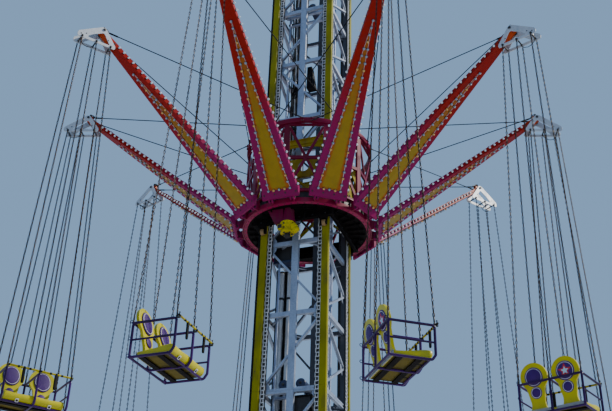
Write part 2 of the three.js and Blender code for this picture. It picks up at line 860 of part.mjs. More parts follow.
const chairFrame = gondolaFrame();
const chairSeats = seatPair();
const chairBar = lapBar();
for (let index = 0; index < ARM.count; index += 1) {
  const number = index + 1;
  group.add(paintedMesh(`arm_${number}`, arm(index), PAINT.magenta));
  const chair = new THREE.Group();
  chair.rotation.z = armTurn(index);
  chair.add(paintedMesh(`chair_frame_${number}`, chairFrame.clone(), PAINT.violet));
  chair.add(paintedMesh(`seats_${number}`, chairSeats.clone(), PAINT.shell));
  chair.add(paintedMesh(`lap_bar_${number}`, chairBar.clone(), PAINT.yellow));
  group.add(chair);
}

export default group;
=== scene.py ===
# %% [markdown]
# # A tower swing ride
# The ride is a lattice mast, a carriage that climbs it, and a turning carousel of ten raised
# arms. A double chair hangs on chains from the tip of every arm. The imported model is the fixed
# frame: every length below is in metres and lies in its axes, +Z up, with the origin under the
# middle of the mast. This lesson dresses that frame with rolled steel, paint, bulbs and chain.

# %% Load the frame
import math
import random
import bmesh
import bpy
from mathutils import Matrix, Vector


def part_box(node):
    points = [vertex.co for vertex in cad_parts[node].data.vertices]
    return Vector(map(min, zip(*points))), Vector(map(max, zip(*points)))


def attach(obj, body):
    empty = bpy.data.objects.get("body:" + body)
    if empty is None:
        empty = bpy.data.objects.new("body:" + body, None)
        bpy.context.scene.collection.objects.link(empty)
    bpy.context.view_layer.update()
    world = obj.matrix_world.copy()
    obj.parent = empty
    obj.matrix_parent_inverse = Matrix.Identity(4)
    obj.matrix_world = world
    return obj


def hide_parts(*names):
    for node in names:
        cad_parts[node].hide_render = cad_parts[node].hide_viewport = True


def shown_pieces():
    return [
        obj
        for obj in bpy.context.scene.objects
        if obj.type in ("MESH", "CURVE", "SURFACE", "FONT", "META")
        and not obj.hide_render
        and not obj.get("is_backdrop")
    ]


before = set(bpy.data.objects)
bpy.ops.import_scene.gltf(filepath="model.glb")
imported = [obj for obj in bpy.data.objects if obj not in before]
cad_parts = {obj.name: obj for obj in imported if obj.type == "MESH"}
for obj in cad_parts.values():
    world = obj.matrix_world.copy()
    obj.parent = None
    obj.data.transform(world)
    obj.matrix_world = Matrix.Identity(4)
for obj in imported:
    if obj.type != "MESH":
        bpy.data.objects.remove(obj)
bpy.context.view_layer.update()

# %% [markdown]
# The driving sizes are read from the frame, so the dressing follows the model. The first arm
# and the first chair point along -Y, which makes their boxes easy to read. Z is the height of
# the drum's underside, and heights on the carousel are measured from it.

# %% Driving sizes from the frame
rail_low, rail_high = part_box("guide_rail_1")
chair_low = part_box("chair_frame_1")[0]
seats_low, seats_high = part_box("seats_1")

MAST_HALF = -rail_low.x
RAIL_WIDTH = rail_high.x - rail_low.x
RAIL_DEPTH = rail_high.y - rail_low.y
MAST_FOOT, MAST_TOP = rail_low.z, rail_high.z
BAY = (MAST_TOP - MAST_FOOT) / 17
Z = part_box("drum")[0].z
CHAIR_TUBE = 0.030
CHAIR_REAR = chair_low.x + CHAIR_TUBE / 2
CHAIR_BOTTOM = chair_low.z + CHAIR_TUBE / 2
CHAIR_FRONT = 0.34
CHAIR_MIDDLE = (seats_low.y + seats_high.y) / 2
SEAT_PITCH = 0.56

UP = Vector((0, 0, 1))
SIDES = (-1, 1)
CORNERS = ((-1, -1), (1, -1), (1, 1), (-1, 1))
ARMS = 10
ARM_TURN = 2 * math.pi / ARMS
QUARTER_TURNS = [Matrix.Rotation(k * math.pi / 2, 4, "Z") for k in range(4)]
ARM_TURNS = [Matrix.Rotation(k * ARM_TURN, 4, "Z") for k in range(ARMS)]
print("mast", round(2 * MAST_HALF, 3), "wide, carousel at", round(Z, 3))

# %% [markdown]
# ## Camera
# The photograph looks up at the carousel from close to the ground. A camera is two things: a
# place and a turn. The turn is built from its heading, its pitch and a slight roll, as a
# photographer would tilt the camera, and the lens is a short telephoto.

# %% Camera
CAMERA_AZIMUTH = math.radians(21.0)
CAMERA_DISTANCE = 18.515
CAMERA_BELOW_DRUM = 10.302
CAMERA_PITCH = math.radians(30.86)
CAMERA_ROLL = math.radians(1.78)
CAMERA_YAW = math.radians(-0.13)
CAMERA_LENS = 55.38


def heading_vector(heading, pitch=0.0):
    level = math.cos(pitch)
    return Vector((math.sin(heading) * level, math.cos(heading) * level, math.sin(pitch)))


def camera_turn(heading, pitch, roll):
    forward = heading_vector(heading, pitch)
    right = Vector((math.cos(heading), -math.sin(heading), 0))
    up = right.cross(forward)
    tilted_right = math.cos(roll) * right + math.sin(roll) * up
    tilted_up = math.cos(roll) * up - math.sin(roll) * right
    return Matrix((tilted_right, tilted_up, -forward)).transposed()


camera = bpy.data.objects.new("camera", bpy.data.cameras.new("camera"))
bpy.context.scene.collection.objects.link(camera)
camera.data.lens = CAMERA_LENS
camera.data.sensor_width = 36.0
camera.data.clip_end = 400.0
place = heading_vector(math.pi - CAMERA_AZIMUTH) * CAMERA_DISTANCE
place.z = Z - CAMERA_BELOW_DRUM
turn = camera_turn(CAMERA_YAW - CAMERA_AZIMUTH, CAMERA_PITCH, CAMERA_ROLL)
camera.matrix_world = Matrix.Translation(place) @ turn.to_4x4()
bpy.context.scene.camera = camera
print("camera at", [round(value, 2) for value in place])

# %% [markdown]
# ## Light
# A large object outdoors is lit by the whole sky and by one soft sun. Here a pale world gives
# the even light, a wide sun gives the shape, and a pale floor throws light back up at the
# undersides, which is what the camera sees most of.

# %% Light
world = bpy.data.worlds.new("studio")
bpy.context.scene.world = world
world.use_nodes = True
backdrop = world.node_tree.nodes["Background"]
backdrop.inputs["Color"].default_value = (0.38, 0.63, 1.0, 1)
backdrop.inputs["Strength"].default_value = 0.60


def add_sun(name, azimuth, elevation, strength, spread, colour):
    lamp = bpy.data.lights.new(name, "SUN")
    lamp.energy = strength
    lamp.angle = math.radians(spread)
    lamp.color = colour
    sun = bpy.data.objects.new(name, lamp)
    towards = heading_vector(math.radians(180 - azimuth), math.radians(elevation))
    sun.rotation_mode = "QUATERNION"
    sun.rotation_quaternion = towards.to_track_quat("Z", "Y")
    bpy.context.scene.collection.objects.link(sun)


add_sun("key_light", 112, 40, 5.4, 4, (1.0, 0.94, 0.82))
add_sun("fill_light", -10, -28, 0.25, 50, (0.92, 0.96, 1.0))
print("lights", len(bpy.data.lights))

# %% [markdown]
# ## Shader maths
# A procedural material is arithmetic on patterns. Wrapping each socket in a small class lets
# that arithmetic be written as plain expressions, so that 1 - dirt makes the Math node itself.

# %% Shader helpers
class Link:
    """An output socket that can be used in sums and products."""

    def __init__(self, finish, socket):
        self.finish = finish
        self.socket = socket

    def maths(self, operation, first, second=0.0):
        return self.finish.node("Math", {"operation": operation}, [first, second])

    def __add__(self, other):
        return self.maths("ADD", self, other)

    def __radd__(self, other):
        return self.maths("ADD", other, self)

    def __sub__(self, other):
        return self.maths("SUBTRACT", self, other)

    def __rsub__(self, other):
        return self.maths("SUBTRACT", other, self)

    def __mul__(self, other):
        return self.maths("MULTIPLY", self, other)

    def __rmul__(self, other):
        return self.maths("MULTIPLY", other, self)

    def __truediv__(self, other):
        return self.maths("DIVIDE", self, other)

    def __abs__(self):
        return self.maths("ABSOLUTE", self)

    def smooth(self, low, high):
        """0 below `low`, 1 above `high`, and a soft step between."""
        settings = {"interpolation_type": "SMOOTHSTEP"}
        values = {"Value": self, "From Min": low, "From Max": high, "To Min": 0.0, "To Max": 1.0}
        return self.finish.node("MapRange", settings, values)


class Finish:
    """A material that is built with expressions."""

    def __init__(self, name, specular=0.5):
        self.material = bpy.data.materials.new(name)
        self.material.use_nodes = True
        self.tree = self.material.node_tree
        self.shader = self.tree.nodes["Principled BSDF"]
        self.set("Specular IOR Level", specular)

    def node(self, kind, settings, values, output=0):
        made = self.tree.nodes.new("ShaderNode" + kind)
        for name, value in settings.items():
            setattr(made, name, value)
        pairs = values.items() if isinstance(values, dict) else enumerate(values)
        for key, value in pairs:
            self.feed(made.inputs[key], value)
        return Link(self, made.outputs[output])

    def feed(self, socket, value):
        if isinstance(value, Link):
            self.tree.links.new(value.socket, socket)
        elif isinstance(value, (tuple, list)) and len(socket.default_value) == 4:
            socket.default_value = (*value[:3], 1.0)
        else:
            socket.default_value = value

    def set(self, name, value):
        self.feed(self.shader.inputs[name], value)

    def vector_maths(self, operation, values, output=0):
        return self.node("VectorMath", {"operation": operation}, values, output)

    def point(self, output="Object"):
        return self.node("TexCoord", {}, {}, output)

    def place(self, stretch=(1, 1, 1)):
        """The point on the object in metres, stretched along each axis."""
        return self.vector_maths("MULTIPLY", [self.point(), stretch])

    def axis(self, name):
        return self.node("SeparateXYZ", {}, [self.point()], name)

    def noise(self, scale, detail=3.0, rough=0.55, stretch=(1, 1, 1)):
        values = {"Vector": self.place(stretch), "Scale": scale}
        return self.node("TexNoise", {}, {**values, "Detail": detail, "Roughness": rough})

    def cells(self, feature, scale, output):
        values = {"Vector": self.place(), "Scale": scale}
        return self.node("TexVoronoi", {"feature": feature}, values, output)

    def mix(self, amount, first, second):
        return self.node("Mix", {"data_type": "RGBA"}, {0: amount, 6: first, 7: second}, 2)

    def bump(self, height, distance, strength=1.0):
        values = {"Height": height, "Distance": distance, "Strength": strength}
        self.set("Normal", self.node("Bump", {}, values))


print("shader helpers ready")

# %% [markdown]
# ## Paint
# Fairground paint is a thick coat that has been outdoors for years. It fades in broad patches,
# dirt runs down it, and it chips to grey primer in small spots. Three noises at three sizes
# give those three things, and the same recipe serves every colour.

# %% Painted steel
PRIMER = (0.16, 0.15, 0.15)
GRIME = (0.045, 0.038, 0.032)
MAGENTA = (0.215, 0.001, 0.078)
RED = (0.26, 0.005, 0.002)
TIP_ORANGE = (0.42, 0.045, 0.003)


def painted(name, colour, faded, gloss=0.38, chips=0.70, dirt=0.35):
    finish = Finish(name, 0.15)
    fading = finish.noise(0.9, 2.0).smooth(0.35, 0.70)
    runs = finish.noise(7.0, 4.0, 0.6, (1, 1, 0.12)).smooth(0.48, 0.75)
    chip = finish.noise(26.0, 6.0, 0.7).smooth(chips, chips + 0.03)
    shown = finish.mix(fading, colour, faded)
    shown = finish.mix(runs * dirt, shown, GRIME)
    finish.set("Base Color", finish.mix(chip, shown, PRIMER))
    finish.set("Roughness", gloss + 0.22 * runs + 0.3 * chip)
    finish.set("Coat Weight", 0.05 - 0.05 * chip)
    finish.set("Coat Roughness", 0.12)
    finish.bump(0.15 * finish.noise(160.0, 2.0) - 0.9 * chip, 0.0012, 0.5)
    return finish


crimson_paint, yellow_paint, violet_paint, dark_maroon, drive_magenta, motor_paint = [
    painted(*recipe) for recipe in (
        ("crimson_paint", (0.205, 0.001, 0.040), (0.135, 0.001, 0.022)),
        ("yellow_paint", (0.40, 0.34, 0.003), (0.27, 0.22, 0.004), 0.30, 0.69, 0.45),
        ("violet_paint", (0.040, 0.007, 0.100), (0.018, 0.004, 0.045), 0.28, 0.74, 0.25),
        ("dark_maroon", (0.30, 0.002, 0.070), (0.22, 0.002, 0.045), 0.45, 0.72, 0.4),
        ("drive_magenta", (0.15, 0.001, 0.040), (0.085, 0.001, 0.020), 0.42, 0.72, 0.4),
        ("motor_paint", (0.60, 0.50, 0.003), (0.44, 0.35, 0.004), 0.34, 0.70, 0.25),
    )
]
print("paints", len(bpy.data.materials))

# %% [markdown]
# The arms fade from magenta at the drum to red, and to orange at the tip. The mix follows the
# distance from the mast, which along the first arm is simply -Y.

# %% Arm paint
arm_paint = Finish("arm_paint", 0.1)
reach = 0 - arm_paint.axis("Y") + 0.5 * arm_paint.noise(1.6, 2.0)
arm_colour = arm_paint.mix(reach.smooth(2.7, 4.0), MAGENTA, RED)
arm_colour = arm_paint.mix(reach.smooth(5.2, 5.7), arm_colour, TIP_ORANGE)
arm_runs = arm_paint.noise(6.0, 4.0, 0.6, (1, 0.3, 1)).smooth(0.5, 0.78)
arm_chip = arm_paint.noise(24.0, 6.0, 0.7).smooth(0.71, 0.74)
arm_colour = arm_paint.mix(arm_runs * 0.3, arm_colour, GRIME)
arm_paint.set("Base Color", arm_paint.mix(arm_chip, arm_colour, PRIMER))
arm_paint.set("Roughness", 0.46 + 0.2 * arm_runs)
arm_paint.bump(0.15 * arm_paint.noise(160.0, 2.0) - 0.9 * arm_chip, 0.0012, 0.5)
print("arm paint from", MAGENTA, "to", RED)

# %% [markdown]
# The panel below an arm is airbrushed: yellow along its middle, orange towards its edges, its
# root and its point. Its half width shrinks evenly with the distance from the mast, so the
# distance across is divided by that width.

# %% Panel paint
PANEL_REACH = (1.677, 4.535)
PANEL_HALF = 0.245
PANEL_YELLOW = (0.28, 0.175, 0.001)
PANEL_OLIVE = (0.21, 0.132, 0.001)
PANEL_ORANGE = (0.32, 0.072, 0.001)
panel_paint = Finish("panel_paint", 0.2)
reach = 0 - panel_paint.axis("Y")
across = abs(panel_paint.axis("X"))
width = PANEL_HALF * (PANEL_REACH[1] - reach) / (PANEL_REACH[1] - PANEL_REACH[0])
cloud = panel_paint.noise(4.0, 3.0)
edge_fade = (across / width + 0.25 * cloud).smooth(0.64, 1.00)
end_fade = (reach + 0.3 * cloud).smooth(2.9, 4.1)
root_fade = 1 - (reach + 0.05 * cloud).smooth(1.72, 1.80)
orange = (edge_fade + 0.8 * end_fade + 0.8 * root_fade).smooth(0.0, 1.0)
panel_colour = panel_paint.mix(cloud.smooth(0.4, 0.7) * 0.6, PANEL_YELLOW, PANEL_OLIVE)
panel_colour = panel_paint.mix(orange, panel_colour, PANEL_ORANGE)
panel_runs = panel_paint.noise(7.0, 4.0, 0.6, (1, 0.25, 1)).smooth(0.55, 0.8)
panel_paint.set("Base Color", panel_paint.mix(panel_runs * 0.3, panel_colour, GRIME))
panel_paint.set("Roughness", 0.36 + 0.2 * panel_runs)
panel_paint.bump(0.3 * panel_paint.noise(120.0, 3.0) + 0.3 * panel_runs, 0.0008, 0.5)
print("panel paint from", PANEL_YELLOW, "to", PANEL_ORANGE)

# %% [markdown]
# The guide rails are yellow too, but rollers run on them all day. Their faces carry long dark
# stripes of grease and rubber, which break up into patches.

# %% Rail paint
RAIL_YELLOW = (0.24, 0.22, 0.001)
RAIL_DULL = (0.16, 0.145, 0.002)
rail_paint = Finish("rail_paint", 0.12)
rail_patch = rail_paint.noise(3.4, 6.0, 0.7, (1.6, 1.6, 0.35)).smooth(0.50, 0.60)
rail_spots = rail_paint.noise(30.0, 5.0, 0.7).smooth(0.58, 0.66)
rail_colour = rail_paint.mix(rail_paint.noise(1.2, 2.0).smooth(0.35, 0.7), RAIL_YELLOW, RAIL_DULL)
rail_colour = rail_paint.mix(rail_patch * (0.25 + 0.55 * rail_spots), rail_colour, GRIME)
rail_paint.set("Base Color", rail_colour)
rail_paint.set("Roughness", 0.36 + 0.3 * rail_patch)
rail_paint.bump(rail_paint.noise(90.0, 3.0) + 0.6 * rail_spots, 0.0015, 0.35)
print("rail paint from", RAIL_YELLOW, "to", RAIL_DULL)

# %% [markdown]
# ## Bare metal
# Hot-dip galvanising freezes into crystals a few centimetres wide, called spangle. A Voronoi
# pattern has exactly such cells. Weather dulls them and streaks them with white and grey. The
# lattice also carries painted shade: its faces that look in towards the mast's axis are painted
# dark, for the shade within the mast.

# %% Galvanised steel
STREAK = (0.10, 0.085, 0.075)
AXIS_FACING_SHADE = (0.030, 0.026, 0.030)


def shade_facing_axis(finish):
    """Painted shade mask: 1 on faces that look towards the mast's axis and 0 on faces that look
    away from it.
    """
    outward = finish.vector_maths("NORMALIZE", [finish.place((1, 1, 0))])
    away = finish.vector_maths("DOT_PRODUCT", [finish.point("Normal"), outward], "Value")
    return (0 - away).smooth(0.15, 0.55)


def galvanised(name, light, dark, rough=0.42, metal=0.75, inner_shade_amount=0.0, specular=0.5):
    finish = Finish(name, specular)
    cell = finish.node("SeparateColor", {}, [finish.cells("F1", 34.0, "Color")])
    weather = finish.noise(3.0, 5.0, 0.6, (1, 1, 0.25)).smooth(0.38, 0.72)
    stain = finish.noise(11.0, 4.0, 0.65, (1, 1, 0.2)).smooth(0.62, 0.80)
    colour = finish.mix(0.55 * weather + 0.30 * cell, light, dark)
    colour = finish.mix(stain * 0.5, colour, STREAK)
    if inner_shade_amount:
        # painted shade: faces that look in towards the mast's axis are darkened, a little less
        # where weathered
        colour = finish.mix(shade_facing_axis(finish) * (inner_shade_amount - 0.15 * weather), colour, AXIS_FACING_SHADE)
    finish.set("Base Color", colour)
    finish.set("Metallic", metal - 0.35 * stain)
    finish.set("Roughness", rough + 0.18 * weather - 0.08 * cell)
    finish.bump(0.3 * cell + finish.noise(60.0, 3.0), 0.0008, 0.4)
    return finish


galvanised_steel, lattice_steel, chain_steel, worn_chain, dark_steel_and_shade, hanger_grey, pipe_grey = [
    galvanised(*recipe) for recipe in (
        ("galvanised_steel", (0.44, 0.50, 0.66), (0.22, 0.27, 0.40)),
        # this steel carries painted shade on the faces that look in towards the mast's axis
        ("lattice_steel", (0.38, 0.43, 0.54), (0.18, 0.22, 0.31), 0.42, 0.55, 0.9),
        ("chain_steel", (0.74, 0.74, 0.76), (0.40, 0.40, 0.42), 0.40, 0.35),
        ("worn_chain", (0.055, 0.030, 0.020), (0.014, 0.010, 0.009), 0.55, 0.2, 0.0, 0.2),
        ("dark_steel_and_shade", (0.036, 0.034, 0.036), (0.014, 0.013, 0.014), 0.50, 0.4),
        ("hanger_grey", (0.50, 0.53, 0.58), (0.33, 0.36, 0.41), 0.42, 0.15),
        ("pipe_grey", (0.72, 0.73, 0.75), (0.46, 0.47, 0.50), 0.35, 0.3),
    )
]
print("paints and metals", len(bpy.data.materials))

# %% [markdown]
# ## Moulded parts, rubber and bulbs
# The seat shells are gloss moulded plastic, scuffed where people slide across. The pads wear a
# purple vinyl with a fine leather grain, and the bulbs are small frosted caps.

# %% Moulded plastic
def moulded(name, colour, worn, gloss=0.22, grain=0.0, scuff=0.5, specular=0.5):
    finish = Finish(name, specular)
    cloud = finish.noise(5.0, 3.0).smooth(0.4, 0.7)
    scratch = finish.noise(18.0, 5.0, 0.7, (1, 4, 1)).smooth(0.60, 0.70)
    dust = finish.noise(70.0, 3.0).smooth(0.55, 0.8)
    finish.set("Base Color", finish.mix(cloud * scuff, colour, worn))
    finish.set("Roughness", gloss + 0.2 * scratch + 0.12 * dust)
    if grain:
        pores = finish.cells("DISTANCE_TO_EDGE", 190.0, 0)
        finish.bump(pores.smooth(0.0, 0.35) + 0.3 * cloud, grain, 0.8)
    else:
        finish.bump(scratch + 0.2 * dust, 0.0005, 0.4)
    return finish


(
    shell_yellow, under_shade_olive, hatch_shade_olive, purple_vinyl, piping_white, star_red, star_white,
    black_rubber, grease_and_shade, tan_tyre, grey_rib, drum_blue,
) = [moulded(*recipe) for recipe in (
    ("shell_yellow", (0.48, 0.43, 0.002), (0.35, 0.31, 0.003), 0.32, 0.0, 0.5, 0.3),
    # The two dark olives are the shell's yellow with painted shade, for the underside of the bench.
    ("under_shade_olive", (0.065, 0.049, 0.003), (0.038, 0.029, 0.003), 0.55, 0.0, 0.8, 0.15),
    ("hatch_shade_olive", (0.105, 0.078, 0.002), (0.065, 0.048, 0.002), 0.60, 0.0, 0.8, 0.12),
    ("purple_vinyl", (0.045, 0.008, 0.135), (0.030, 0.006, 0.085), 0.42, 0.0006, 0.5, 0.2),
    ("piping_white", (0.78, 0.78, 0.80), (0.60, 0.60, 0.62), 0.35),
    ("star_red", (0.50, 0.015, 0.04), (0.36, 0.012, 0.03), 0.25),
    ("star_white", (0.36, 0.58, 0.74), (0.26, 0.46, 0.62), 0.30),
    ("black_rubber", (0.006, 0.006, 0.007), (0.012, 0.011, 0.011), 0.62, 0.0005, 0.5, 0.12),
    ("grease_and_shade", (0.0035, 0.0025, 0.003), (0.009, 0.006, 0.006), 0.70, 0.0008, 0.7, 0.08),
    ("tan_tyre", (0.27, 0.165, 0.060), (0.17, 0.10, 0.040), 0.60, 0.0006),
    ("grey_rib", (0.30, 0.31, 0.33), (0.20, 0.21, 0.22), 0.45),
    ("drum_blue", (0.012, 0.022, 0.070), (0.008, 0.014, 0.045), 0.40),
)]
shell_yellow.set("Coat Weight", 0.12)


def bulb_cap(name, colour, glow):
    finish = Finish(name)
    frost = finish.noise(220.0, 3.0)
    finish.set("Base Color", finish.mix(frost * 0.3, colour, (0.45, 0.50, 0.57)))
    finish.set("Roughness", 0.18 + 0.15 * frost)
    finish.set("Emission Color", finish.mix(frost * 0.4, colour, (1, 1, 1)))
    finish.set("Emission Strength", glow)
    finish.set("Coat Weight", 0.3)
    finish.bump(frost, 0.0004, 0.3)
    return finish


# The same frosted bulb in two copies: a darker, dimmer one with painted shade for the bulbs under
# the arms, and a paler one with painted light for the bulbs on the side faces.
bulb_painted_shade = bulb_cap("bulb_painted_shade", (0.22, 0.29, 0.38), 0.02)
bulb_painted_light = bulb_cap("bulb_painted_light", (0.60, 0.66, 0.74), 0.05)
bulb_amber = bulb_cap("bulb_amber", (0.55, 0.27, 0.004), 0.06)
print("materials", len(bpy.data.materials))

# %% [markdown]
# ## Floor
# The floor is a wide pale sheet of fine concrete. It isn't part of the ride, so it is staged.

# %% Floor
FLOOR_HALF = 60.0
floor_finish = Finish("floor_concrete")
cloud = floor_finish.noise(0.6, 4.0).smooth(0.3, 0.7)
floor_finish.set("Base Color", floor_finish.mix(cloud, (0.58, 0.58, 0.57), (0.50, 0.50, 0.50)))
floor_finish.set("Roughness", 0.7 + 0.1 * cloud)
floor_mesh = bpy.data.meshes.new("floor")
corners = [(x * FLOOR_HALF, y * FLOOR_HALF, 0) for x, y in CORNERS]
floor_mesh.from_pydata(corners, [], [(0, 1, 2, 3)])
floor_mesh.materials.append(floor_finish.material)
floor = bpy.data.objects.new("floor", floor_mesh)
bpy.context.scene.collection.objects.link(floor)
floor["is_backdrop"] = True
print("floor", 2 * FLOOR_HALF, "m wide")

# %% [markdown]
# ## A mesh builder
# Every piece below is made of closed shapes: bars, plates, tubes and turned rounds. Each one
# is a loft, which is a skin that runs through a row of loops. Collecting them in one list and
# making one mesh at the end is much faster in Blender than joining many small objects, and
# each shape can name its own finish.

# %% Mesh builder
def round_steps(count, offset=0.0):
    """The cosine and sine of equal steps round a circle."""
    turns = [2 * math.pi * (k + offset) / count for k in range(count)]
    return [(math.cos(turn), math.sin(turn)) for turn in turns]


class Shape:
    """Closed shapes gathered into one mesh."""

    def __init__(self, *finishes):
        self.points = []
        self.faces = []
        self.slots = []
        self.finishes = finishes

    def loft(self, loops, finish, closed=False):
        """A skin through loops of equally many points, capped or closed on itself."""
        start, count = len(self.points), len(loops[0])
        self.points += [tuple(point) for loop in loops for point in loop]
        rows = [range(start + i * count, start + (i + 1) * count) for i in range(len(loops))]
        faces = [] if closed else [rows[0][::-1], rows[-1]]
        for low, high in zip(rows, rows[1:] + (rows[:1] if closed else [])):
            faces += [(low[k - 1], low[k], high[k], high[k - 1]) for k in range(count)]
        self.faces += faces
        self.slots += [self.finishes.index(finish)] * len(faces)

    def plate(self, spot, outline, levels, finish, window=None):
        """A flat plate; `spot` places a point of its outline at one of its two levels."""
        near, far = [[spot(a, b, level) for a, b in outline] for level in levels]
        if window is None:
            self.loft([near, far], finish)
        else:
            inner = [[spot(a, b, level) for a, b in window] for level in levels]
            self.loft([near, *inner, far], finish, closed=True)

    def box(self, low, high, finish, place=Matrix.Identity(4)):
        (x0, y0, z0), (x1, y1, z1) = low, high
        ring = ((x0, y0), (x1, y0), (x1, y1), (x0, y1))
        self.loft([[place @ Vector((x, y, z)) for x, y in ring] for z in (z0, z1)], finish)

    def bar(self, start, end, width, depth, side, finish):
        """A straight bar. `side` points along its width."""
        start, end, side = Vector(start), Vector(end), Vector(side)
        along = (end - start).normalized()
        across = (side - along * along.dot(side)).normalized()
        third = along.cross(across)
        corners = [across * x * width / 2 + third * y * depth / 2 for x, y in CORNERS]
        self.loft([[spot + corner for corner in corners] for spot in (start, end)], finish)

    def tube(self, path, radius, sides, finish, closed=False):
        """A round tube that follows a path without twisting."""
        path = [Vector(point) for point in path]
        last = len(path) - 1
        normal = None
        loops = []
        for i, point in enumerate(path):
            before = path[i - 1] if closed or i > 0 else point
            after = path[(i + 1) % len(path)] if closed or i < last else point
            along = (after - before).normalized()
            normal = normal or along.orthogonal()
            normal = (normal - along * along.dot(normal)).normalized()
            spokes = [normal * c + along.cross(normal) * s for c, s in round_steps(sides)]
            loops.append([point + radius * spoke for spoke in spokes])
        self.loft(loops, finish, closed)

    def turned(self, profile, centre, axis, sides, finish, closed=False):
        """A round solid: `profile` lists (radius, height) along `axis` from `centre`."""
        centre, axis = Vector(centre), Vector(axis).normalized()
        normal = axis.orthogonal().normalized()
        spokes = [normal * c + axis.cross(normal) * s for c, s in round_steps(sides)]
        loops = [[centre + axis * height + spoke * r for spoke in spokes] for r, height in profile]
        self.loft(loops, finish, closed)

    def bolt(self, centre, axis, radius, finish):
        """A washer with a domed hexagon head on it."""
        self.turned([(1.7 * radius, 0), (1.7 * radius, 0.3 * radius)], centre, axis, 10, finish)
        head = [(radius, 0.3 * radius), (radius, 0.9 * radius), (0.7 * radius, 1.1 * radius)]
        self.turned(head, centre, axis, 6, finish)

    def make(self, name, bevel=0.0, sharp=35.0, steps=1):
        """One object with all the shapes, its edges rounded by a bevel."""
        mesh = bpy.data.meshes.new(name)
        mesh.from_pydata(self.points, [], self.faces)
        for finish in self.finishes:
            mesh.materials.append(finish.material)
        mesh.polygons.foreach_set("material_index", self.slots)
        mesh.shade_smooth()
        outward = bmesh.new()
        outward.from_mesh(mesh)
        bmesh.ops.recalc_face_normals(outward, faces=outward.faces)
        outward.to_mesh(mesh)
        outward.free()
        mesh.set_sharp_from_angle(angle=math.radians(sharp))
        made = bpy.data.objects.new(name, mesh)
        bpy.context.scene.collection.objects.link(made)
        if bevel:
            edge = made.modifiers.new("edge", "BEVEL")
            edge.width, edge.segments = bevel, steps
            edge.limit_method, edge.angle_limit = "ANGLE", math.radians(50)
        print(name, "has", len(self.faces), "faces")
        return made


print("mesh builder ready")

# %% [markdown]
# A finished piece moves with one body of the frame, and it often takes the place of a node
# there. Alike pieces share one mesh, which is placed again for every arm, corner or section.

# %% Pieces and copies
def dress(piece, body, node=""):
    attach(piece, body)
    if node:
        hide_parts(node)


def copies(first, stem, body, node="", places=ARM_TURNS):
    """The first piece and its copies, one at every place. They share one mesh."""
    pieces = [first] + [first.copy() for place in places[1:]]
    for k, (piece, place) in enumerate(zip(pieces, places)):
        if k:
            piece.name = f"{stem}_{k + 1}"
            bpy.context.scene.collection.objects.link(piece)
        piece.matrix_world = place
        dress(piece, body.format(k + 1), node.format(k + 1))
    return pieces


def placed_by(matrix):
    """Places points that are given in the axes of `matrix`."""
    return lambda *point: matrix @ Vector(point)


print("turned copies", ARMS)

# %% [markdown]
# ## The mast
# Each section is a welded lattice: box posts on the corners, girts between them, a centre
# column with one long diagonal in front and behind, and two diagonals that meet on the rear
# post at the sides. All five full sections are the same, so they share one mesh.

# %% Mast sections
POST_IN, POST_OUT = 0.61, 0.71
FACE_IN, FACE_OUT = 0.605, 0.685
FACE_MIDDLE = (FACE_IN + FACE_OUT) / 2
SIDE_MIDDLE = 0.67
COLUMN = 0.075
HALVES = ((-POST_IN, -COLUMN), (COLUMN, POST_IN))
BRACE = (0.066, 0.045)
JOINT_GAP = 0.001


def gusset(steel, corner, run, rise, thin_along):
    """A clipped plate in a corner of the lattice."""
    def spot(a, b, level):
        x, y, z = corner
        return (x + a, y + level, z + b) if thin_along == "y" else (x + level, y + a, z + b)

    outline = [(0, 0), (run, 0), (run, 0.3 * rise), (0.45 * run, rise), (0, rise)]
    steel.plate(spot, outline, (-0.006, 0.006), lattice_steel)


def front_bay(steel, low, sign, flip):
    """A diagonal in two lengths. `sign` is its slope, and `flip` is -1 on the rear side."""
    y, slope = -flip * FACE_MIDDLE, (BAY - 0.20) / (2 * POST_IN)
    for ends in HALVES:
        start, end = [(flip * sign * x, y, low + BAY / 2 + slope * x) for x in ends]
        steel.bar(start, end, *BRACE, (0, 1, 0), lattice_steel)
    for side, z, rise in ((-sign, low + 0.05, 0.20), (sign, low + BAY - 0.05, -0.20)):
        gusset(steel, (flip * side * POST_IN, y, z), -flip * side * 0.16, rise, "y")


def side_bay(steel, low, side):
    """Two diagonals that meet halfway up the rear post."""
    x, middle = side * SIDE_MIDDLE, low + BAY / 2
    for flip in SIDES:
        start = (x, -FACE_IN, middle - flip * (BAY / 2 - 0.10))
        steel.bar(start, (x, FACE_IN, middle), *BRACE, (1, 0, 0), lattice_steel)
        gusset(steel, (x, -FACE_IN, middle - flip * (BAY / 2 - 0.05)), 0.16, flip * 0.20, "x")
        gusset(steel, (x, FACE_IN, middle), -0.18, flip * 0.16, "x")


def girts(steel, z, height):
    low, high = z - height / 2, z + height / 2
    for flip in SIDES:
        y0, y1 = flip * (FACE_IN + 0.005), flip * (FACE_OUT - 0.008)
        for x0, x1 in HALVES:
            steel.box((x0, y0, low), (x1, y1, high), lattice_steel)
        steel.box((flip * 0.635, -FACE_IN, low), (flip * 0.705, FACE_IN, high), lattice_steel)


def knee_braces(steel, z):
    for x, y in CORNERS:
        steel.bar((x * 0.22, y * 0.61, z), (x * 0.64, y * 0.22, z), 0.045, 0.045, UP, lattice_steel)


def splices(steel, z, up):
    """Flanges at a section's end, with the bolts that join it to the next section."""
    face = z + 0.018 * up
    for x, y in CORNERS:
        steel.box((x * 0.50, y * 0.50, z), (x * 0.705, y * 0.68, face), lattice_steel)
        for bolt_x, bolt_y in ((0.535, 0.535), (0.535, 0.64), (0.65, 0.535)):
            steel.bolt((x * bolt_x, y * bolt_y, face), (0, 0, up), 0.013, dark_steel_and_shade)


